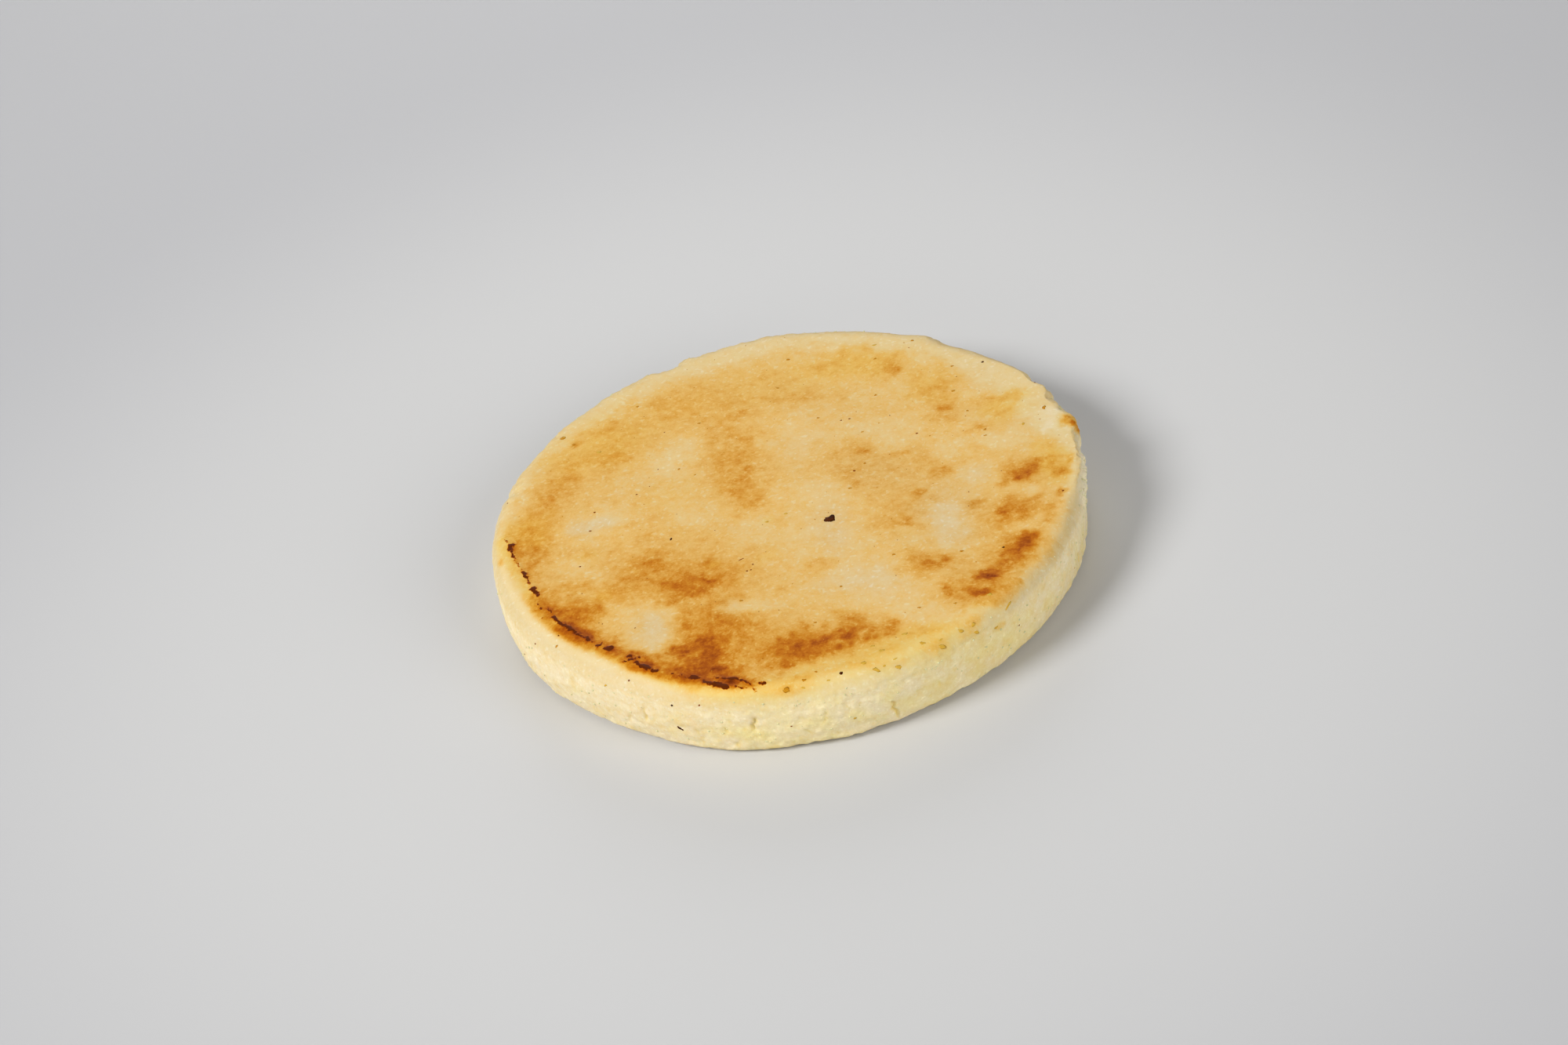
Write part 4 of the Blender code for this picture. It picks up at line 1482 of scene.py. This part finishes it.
@dataclass(frozen=True)
class Speckling:
    """The specks and crumbs that lie on the crust, and how the fine scattered ones are drawn."""

    corners: int = 10
    uneven: float = 0.32
    sunk: float = 0.35
    seed: int = 29
    charred_top: tuple = (
        (6.8, -9.3, 1, 0.95, 30), (7.2, -8.9, 0.6, 0.6, 40), (6.3, -9.5, 0.55, 0.5, 0),
        (-20.5, -5.7, 0.45, 0.22, 80), (3.1, -49.7, 0.36, 0.3, 0), (34, -26.7, 0.25, 0.2, 0),
        (40.1, 27.3, 0.34, 0.26, 20),
    )
    husk_top: tuple = (
        (12.8, 18.2, 0.22, 0.2, 0), (14.3, 18.2, 0.22, 0.18, 0), (-33, 6.3, 0.3, 0.22, 30),
        (-34.2, 1.3, 0.3, 0.2, 0), (25.2, 10.1, 0.28, 0.22, 0), (-48.3, 15.7, 0.26, 0.22, 0),
        (-9.4, -15.5, 0.6, 0.12, 20), (-7.5, -17.4, 0.24, 0.18, 0), (-8.7, -18.9, 0.24, 0.2, 0),
        (-8, -18.8, 0.2, 0.16, 0), (46.5, -15.2, 0.3, 0.2, 60), (12.9, 2.6, 0.32, 0.24, 30),
        (-36.7, -8, 0.24, 0.2, 0), (-25.3, 9, 0.22, 0.18, 0), (47.9, 17.5, 0.22, 0.18, 0),
    )
    brown_top: tuple = (
        (33.5, 20.3, 0.42, 0.3, 10), (34.9, 13.4, 0.36, 0.26, 0), (-22.8, 35.7, 0.42, 0.3, 0),
        (6, 40.7, 0.4, 0.3, 0), (3, 32.2, 0.34, 0.26, 0), (25.2, 43.2, 0.34, 0.26, 0),
        (34.6, 28, 0.36, 0.28, 0), (8.9, 20.3, 0.34, 0.24, 0), (19.9, 24, 0.34, 0.26, 0),
        (15, 4.2, 0.34, 0.26, 0), (36.9, 6.7, 0.4, 0.26, 30), (36.6, 5, 0.34, 0.24, 0),
        (11.5, -2.2, 0.34, 0.26, 0), (21.5, 35, 0.34, 0.26, 0), (16, 13.6, 0.3, 0.24, 0),
        (-14.6, 11.2, 0.3, 0.24, 0), (-12.3, 26.5, 0.34, 0.24, 0), (-17.2, 14, 0.3, 0.22, 0),
        (16, -22.9, 0.36, 0.28, 0), (27.1, -25.5, 0.36, 0.28, 0), (6.2, -28, 0.34, 0.26, 0),
        (0.7, -36, 0.34, 0.26, 0), (17.9, -37.8, 0.36, 0.26, 0), (23.8, -38.7, 0.34, 0.26, 0),
        (-10.6, -26.6, 0.4, 0.3, 0), (-42.2, -27, 0.3, 0.24, 0), (48, 9.5, 0.62, 0.34, 78),
        (28.9, 38.2, 0.4, 0.3, 0), (-37, 31, 0.8, 0.55, 30), (-35.2, 28, 0.4, 0.3, 0),
        (-3, -49.6, 0.42, 0.26, 0), (-0.8, -48.4, 0.3, 0.24, 0),
    )
    golden_top: tuple = (
        (20, -47, 0.6, 0.36, 10), (14.5, -43.6, 0.6, 0.3, 0), (17, -46.4, 0.5, 0.26, 0),
        (23.5, -44.6, 0.6, 0.3, -10), (10.2, -46.6, 0.5, 0.3, 0), (7, -48.6, 0.5, 0.3, 0),
        (8.8, -50, 0.7, 0.3, -15), (12.4, -49.8, 0.6, 0.3, 10), (-0.3, -5.3, 0.42, 0.3, 0),
        (-3.8, -6.4, 0.34, 0.26, 0), (9, -45, 0.4, 0.26, 0), (-36.9, 31.1, 0.46, 0.32, 30),
        (26, -44.4, 0.5, 0.3, 30), (29.6, -38.2, 0.5, 0.3, 0), (22, 39.4, 0.5, 0.3, 0),
        (-31, 24, 0.5, 0.34, 0), (43.6, 6, 0.5, 0.3, 60),
    )
    charred_edge: tuple = (
        (242, 5.3, 0.42, 0.28, 150), (242.6, 5, 0.3, 0.22, 160), (241.5, 10, 0.24, 0.22, 0),
    )
    husk_edge: tuple = (
        (246.9, 10.6, 0.22, 0.18, 30), (232, 12, 0.2, 0.16, 0), (211, 12.6, 0.2, 0.16, 0),
        (202, 5.9, 0.2, 0.16, 0), (207.3, 10.8, 0.2, 0.16, 0), (262.9, 5.8, 0.2, 0.17, 0),
        (127, 8, 0.24, 0.2, 0), (83, 5, 0.24, 0.2, 0), (34, 7, 0.24, 0.2, 0), (310, 6.6, 0.2, 0.16, 0),
    )
    brown_edge: tuple = ((263.2, 12.3, 0.62, 0.40, 0), (331.0, 4.2, 0.26, 0.2, 0))
    golden_edge: tuple = (
        (266.2, 12.2, 0.5, 0.16, -20), (271, 12.4, 0.4, 0.16, 0), (281.6, 12.2, 0.4, 0.16, 0),
        (284, 12.4, 0.5, 0.16, 0), (293.6, 12.2, 0.5, 0.2, 0), (274.2, 4.9, 0.3, 0.2, 0),
        (227, 10.3, 0.4, 0.2, 30), (300.5, 11.9, 0.6, 0.26, 20), (304.6, 9.6, 0.5, 0.22, 0),
        (308.9, 11.3, 1.1, 0.16, 12),
    )
    fine_brown: tuple = (120, 49.0, 0.08, 0.18)
    fine_husk: tuple = (36, 49.0, 0.09, 0.17)
    fine_wide: float = 0.75
    meal_wide: tuple = (0.6, 0.95)
    meal_arcs: tuple = (
        (352, 9, 90, 5, 12, 0.12, 0.28), (14, 8, 70, 8, 12.2, 0.12, 0.3), (104, 40, 150, 8, 12.4, 0.12, 0.3),
        (0, 360, 420, 1.4, 11.5, 0.1, 0.26),
    )

    def drawn(self) -> list[Speck]:
        """Draws up the specks.

        Returns:
            The specks that have a place of their own, and then the fine scattered ones.
        """
        specks = []
        for kind, top, edge in (
            (SpeckKind.CHARRED, self.charred_top, self.charred_edge),
            (SpeckKind.HUSK, self.husk_top, self.husk_edge),
            (SpeckKind.BROWN, self.brown_top, self.brown_edge),
            (SpeckKind.GOLDEN, self.golden_top, self.golden_edge),
        ):
            specks += [Speck(kind, *row) for row in top]
            specks += [Speck(kind, *row, on_edge=True) for row in edge]
        draw = random.Random(self.seed)
        for kind, scatter in ((SpeckKind.BROWN, self.fine_brown), (SpeckKind.HUSK, self.fine_husk)):
            count, reach, small, large = scatter
            for _ in range(count):
                turn, out = draw.uniform(0.0, math.tau), reach * math.sqrt(draw.random())
                size = draw.uniform(small, large)
                x, y = out * math.cos(turn), out * math.sin(turn)
                specks.append(Speck(kind, x, y, size, size * self.fine_wide, draw.uniform(0.0, 180.0)))
        for middle, half_width, count, low, high, small, large in self.meal_arcs:
            for _ in range(count):
                angle = middle + draw.uniform(-1.0, 1.0) * half_width
                size = draw.uniform(small, large)
                height, wide = draw.uniform(low, high), size * draw.uniform(*self.meal_wide)
                turn = draw.uniform(0.0, 180.0)
                specks.append(Speck(SpeckKind.MEAL, angle, height, size, wide, turn, on_edge=True))
        return specks


@dataclass
class Specks:
    """Builds the specks as low lens-shaped bodies laid on the crust, one mesh for each kind."""

    body: ArepaBody
    speckling: Speckling
    clear_of_disc: float = 0.1
    shelf_share: float = 0.62
    shelf_height: float = 0.75
    root_depth: float = 1.5

    def __post_init__(self) -> None:
        """Gets ready to find places on the crust."""
        self.shift = Vector(self.body.shift.tolist())
        mesh = self.body.crust.data
        places, faces = [v.co for v in mesh.vertices], [tuple(p.vertices) for p in mesh.polygons]
        self.tree = BVHTree.FromPolygons(places, faces)
        self.draw = random.Random(self.speckling.seed + 1)

    def seat(self, speck: Speck) -> tuple[Vector, Vector]:
        """Where a speck lies on the crust.

        Args:
            speck: The speck.

        Returns:
            The point of the surface and the way out of it.
        """
        if speck.on_edge:
            turn = math.radians(speck.first)
            out = Vector((math.cos(turn), math.sin(turn), 0.0))
            start = self.shift + out * self.clear_of_disc + Vector((0.0, 0.0, speck.second * MM))
        else:
            out = Vector((0.0, 0.0, 1.0))
            start = self.shift + Vector((speck.first * MM, speck.second * MM, self.clear_of_disc))
        point, normal, _, _ = self.tree.ray_cast(start, -out)
        return point, normal

    def lens(self, speck: Speck, points: list, faces: list) -> None:
        """Adds one speck as a closed lens.

        Args:
            speck: The speck.
            points: The points of its kind's mesh, to which the lens's are added.
            faces: The faces of its kind's mesh, to which the lens's are added.
        """
        point, normal = self.seat(speck)
        across = Vector((0.0, 0.0, 1.0) if speck.on_edge else (0.0, 1.0, 0.0)).cross(normal).normalized()
        along = normal.cross(across)
        proud = speck.kind.proud * (speck.wide if speck.kind is SpeckKind.MEAL else 1.0) * MM
        corners, start = self.speckling.corners, len(points)
        turn = math.radians(speck.turn)
        for corner in range(corners):
            step = math.tau * corner / corners
            size = 1.0 + self.draw.uniform(-1.0, 1.0) * self.speckling.uneven
            x = speck.long * size * math.cos(step) * MM
            y = speck.wide * size * math.sin(step) * MM
            flat_x = x * math.cos(turn) - y * math.sin(turn)
            flat_y = x * math.sin(turn) + y * math.cos(turn)
            points.append(point + across * flat_x + along * flat_y - normal * proud * self.speckling.sunk)
            shelf = point + across * flat_x * self.shelf_share + along * flat_y * self.shelf_share
            points.append(shelf + normal * proud * self.shelf_height)
        points += [point + normal * proud, point - normal * proud * self.root_depth]
        crown, root = start + 2 * corners, start + 2 * corners + 1
        for corner in range(corners):
            here, there = start + 2 * corner, start + 2 * ((corner + 1) % corners)
            faces += [(here, there, there + 1, here + 1), (here + 1, there + 1, crown), (there, here, root)]

    def build(self, browning: bpy.types.NodeTree) -> list[bpy.types.Object]:
        """Makes one mesh for each kind of speck.

        Args:
            browning: The shader group that turns a level into a colour.

        Returns:
            The pieces.
        """
        pieces = []
        specks = self.speckling.drawn()
        for kind in SpeckKind:
            points, faces = [], []
            for speck in specks:
                if speck.kind is kind:
                    self.lens(speck, points, faces)
            piece = add_mesh(kind.piece, np.clip(np.array(points), CAD_LOW, CAD_HIGH), faces)
            finish = SpeckFinish(kind.piece + "_finish", kind.level, kind.yellow)
            piece.data.materials.append(finish.make(browning))
            pieces.append(piece)
        return pieces


@dataclass(frozen=True)
class SpeckFinish:
    """One kind of speck: its level on the crust's own colour ramp, a little uneven."""

    name: str
    level: float
    yellow: float
    uneven: float = 0.14
    tint: Colour = (0.86, 0.96, 0.80, 1.0)
    roughness: float = 0.6
    specular: float = 0.05
    speckle_scale: float = 1800.0

    def make(self, browning: bpy.types.NodeTree) -> bpy.types.Material:
        """Makes the material, which takes its colour from the crust's ramp.

        Args:
            browning: The group that turns a browning level into a colour.

        Returns:
            The material.
        """
        material, sheet, shader = new_material(self.name)
        place = sheet.add("ShaderNodeTexCoord").outputs["Object"]
        speckle = sheet.speckle(place, self.speckle_scale)
        level = sheet.maths("MULTIPLY_ADD", speckle, self.uneven * 2.0, self.level - self.uneven)
        colour = sheet.group(browning, {"Level": level, "Yellow": self.yellow}).outputs["Colour"]
        sheet.fill(shader, {
            "Base Color": sheet.mix(1.0, colour, self.tint, "MULTIPLY"),
            "Roughness": self.roughness,
            "Specular IOR Level": self.specular,
        })
        return material


@dataclass(frozen=True)
class Lamp:
    """A round soft lamp, placed by the direction that it shines from.

    Its share is the brightness that it alone gives to a white floor, and its spread is half the angle that it
    fills.
    """

    name: str
    azimuth: float
    elevation: float
    distance: float
    spread: float
    share: float

    def add(self) -> None:
        """Adds the lamp, facing the disc."""
        azimuth, elevation = math.radians(self.azimuth), math.radians(self.elevation)
        flat = math.cos(elevation)
        direction = Vector((flat * math.cos(azimuth), flat * math.sin(azimuth), math.sin(elevation)))
        lamp = bpy.data.lights.new(self.name, "AREA")
        lamp.shape = "DISK"
        lamp.size = 2.0 * self.distance * math.tan(math.radians(self.spread))
        lamp.energy = self.share * (math.pi * self.distance) ** 2 / math.sin(elevation)
        holder = add_object(self.name, lamp)
        holder.location = direction * self.distance
        holder.rotation_mode = "QUATERNION"
        holder.rotation_quaternion = (-direction).to_track_quat("-Z", "Y")


@dataclass(frozen=True)
class Studio:
    """The floor, the soft lights and the camera at the photograph's angle."""

    elevation: float = 37.1
    roll: float = 11.84
    distance: float = 544.3 * MM
    aim: tuple = (-0.92 * MM, 9.44 * MM, 0.0)
    lens: float = 70.0
    sensor_width: float = 36.0
    clip_start: float = 0.01
    floor_size: float = 6.0
    floor_gap: float = 0.02 * MM
    world_strength: float = 0.20
    lamps: tuple = (
        Lamp("key", 199.0, 39.0, 2.3, 11.5, 0.640),
        Lamp("front_right_fill", 318.0, 26.0, 2.5, 20.0, 0.255),
        Lamp("front_left_fill", 252.0, 15.0, 2.5, 12.0, 0.035),
        Lamp("back_fill", 88.0, 18.0, 2.5, 17.0, 0.08),
    )

    def build(self, shift: Array) -> None:
        """Makes the floor, the world, the lamps and the camera.

        Args:
            shift: How far the disc was moved from its turned frame.
        """
        bpy.ops.mesh.primitive_plane_add(size=self.floor_size, location=(0.0, 0.0, -self.floor_gap))
        floor = bpy.context.object
        floor.name = "floor"
        floor.data.materials.append(FloorFinish().make())
        world = bpy.data.worlds.new("soft_room")
        bpy.context.scene.world = world
        world.use_nodes = True
        background = world.node_tree.nodes["Background"]
        background.inputs["Color"].default_value = WHITE
        background.inputs["Strength"].default_value = self.world_strength
        for lamp in self.lamps:
            lamp.add()
        self.add_camera(shift)
        bpy.context.scene.view_settings.view_transform = "Standard"

    def add_camera(self, shift: Array) -> None:
        """Adds the camera.

        Args:
            shift: How far the disc was moved from its turned frame.
        """
        tilt, roll = math.radians(self.elevation), math.radians(self.roll)
        forward = Vector((0.0, math.cos(tilt), -math.sin(tilt)))
        right = Vector((1.0, 0.0, 0.0))
        down = forward.cross(right)
        across = math.cos(roll) * right + math.sin(roll) * down
        up = math.sin(roll) * right - math.cos(roll) * down
        camera = bpy.data.cameras.new("camera")
        camera.lens = self.lens
        camera.sensor_width = self.sensor_width
        camera.clip_start = self.clip_start
        holder = add_object("camera", camera)
        turned = Matrix((across, up, -forward)).transposed().to_4x4()
        place = Vector(self.aim) + Vector(shift.tolist()) - forward * self.distance
        holder.matrix_world = Matrix.Translation(place) @ turned
        bpy.context.scene.camera = holder


def main() -> None:
    """Builds the arepa's pieces in order and sets up the studio."""
    logging.basicConfig(level=logging.INFO, format="%(name)s %(message)s")
    body = ArepaBody(DiscForm(), EdgeRelief(), Browning())
    crust = body.build()
    effects = Effects()
    colours = effects.browning()
    crust.data.materials.append(CrustFinish(effects).make(colours))
    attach(crust, "root")
    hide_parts(body.NODE)
    for piece in Specks(body, Speckling()).build(colours):
        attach(piece, "root")
    Studio().build(body.shift)
    log.info("shift in mm: %s", (body.shift / MM).round(3))


if __name__ == "__main__":
    main()
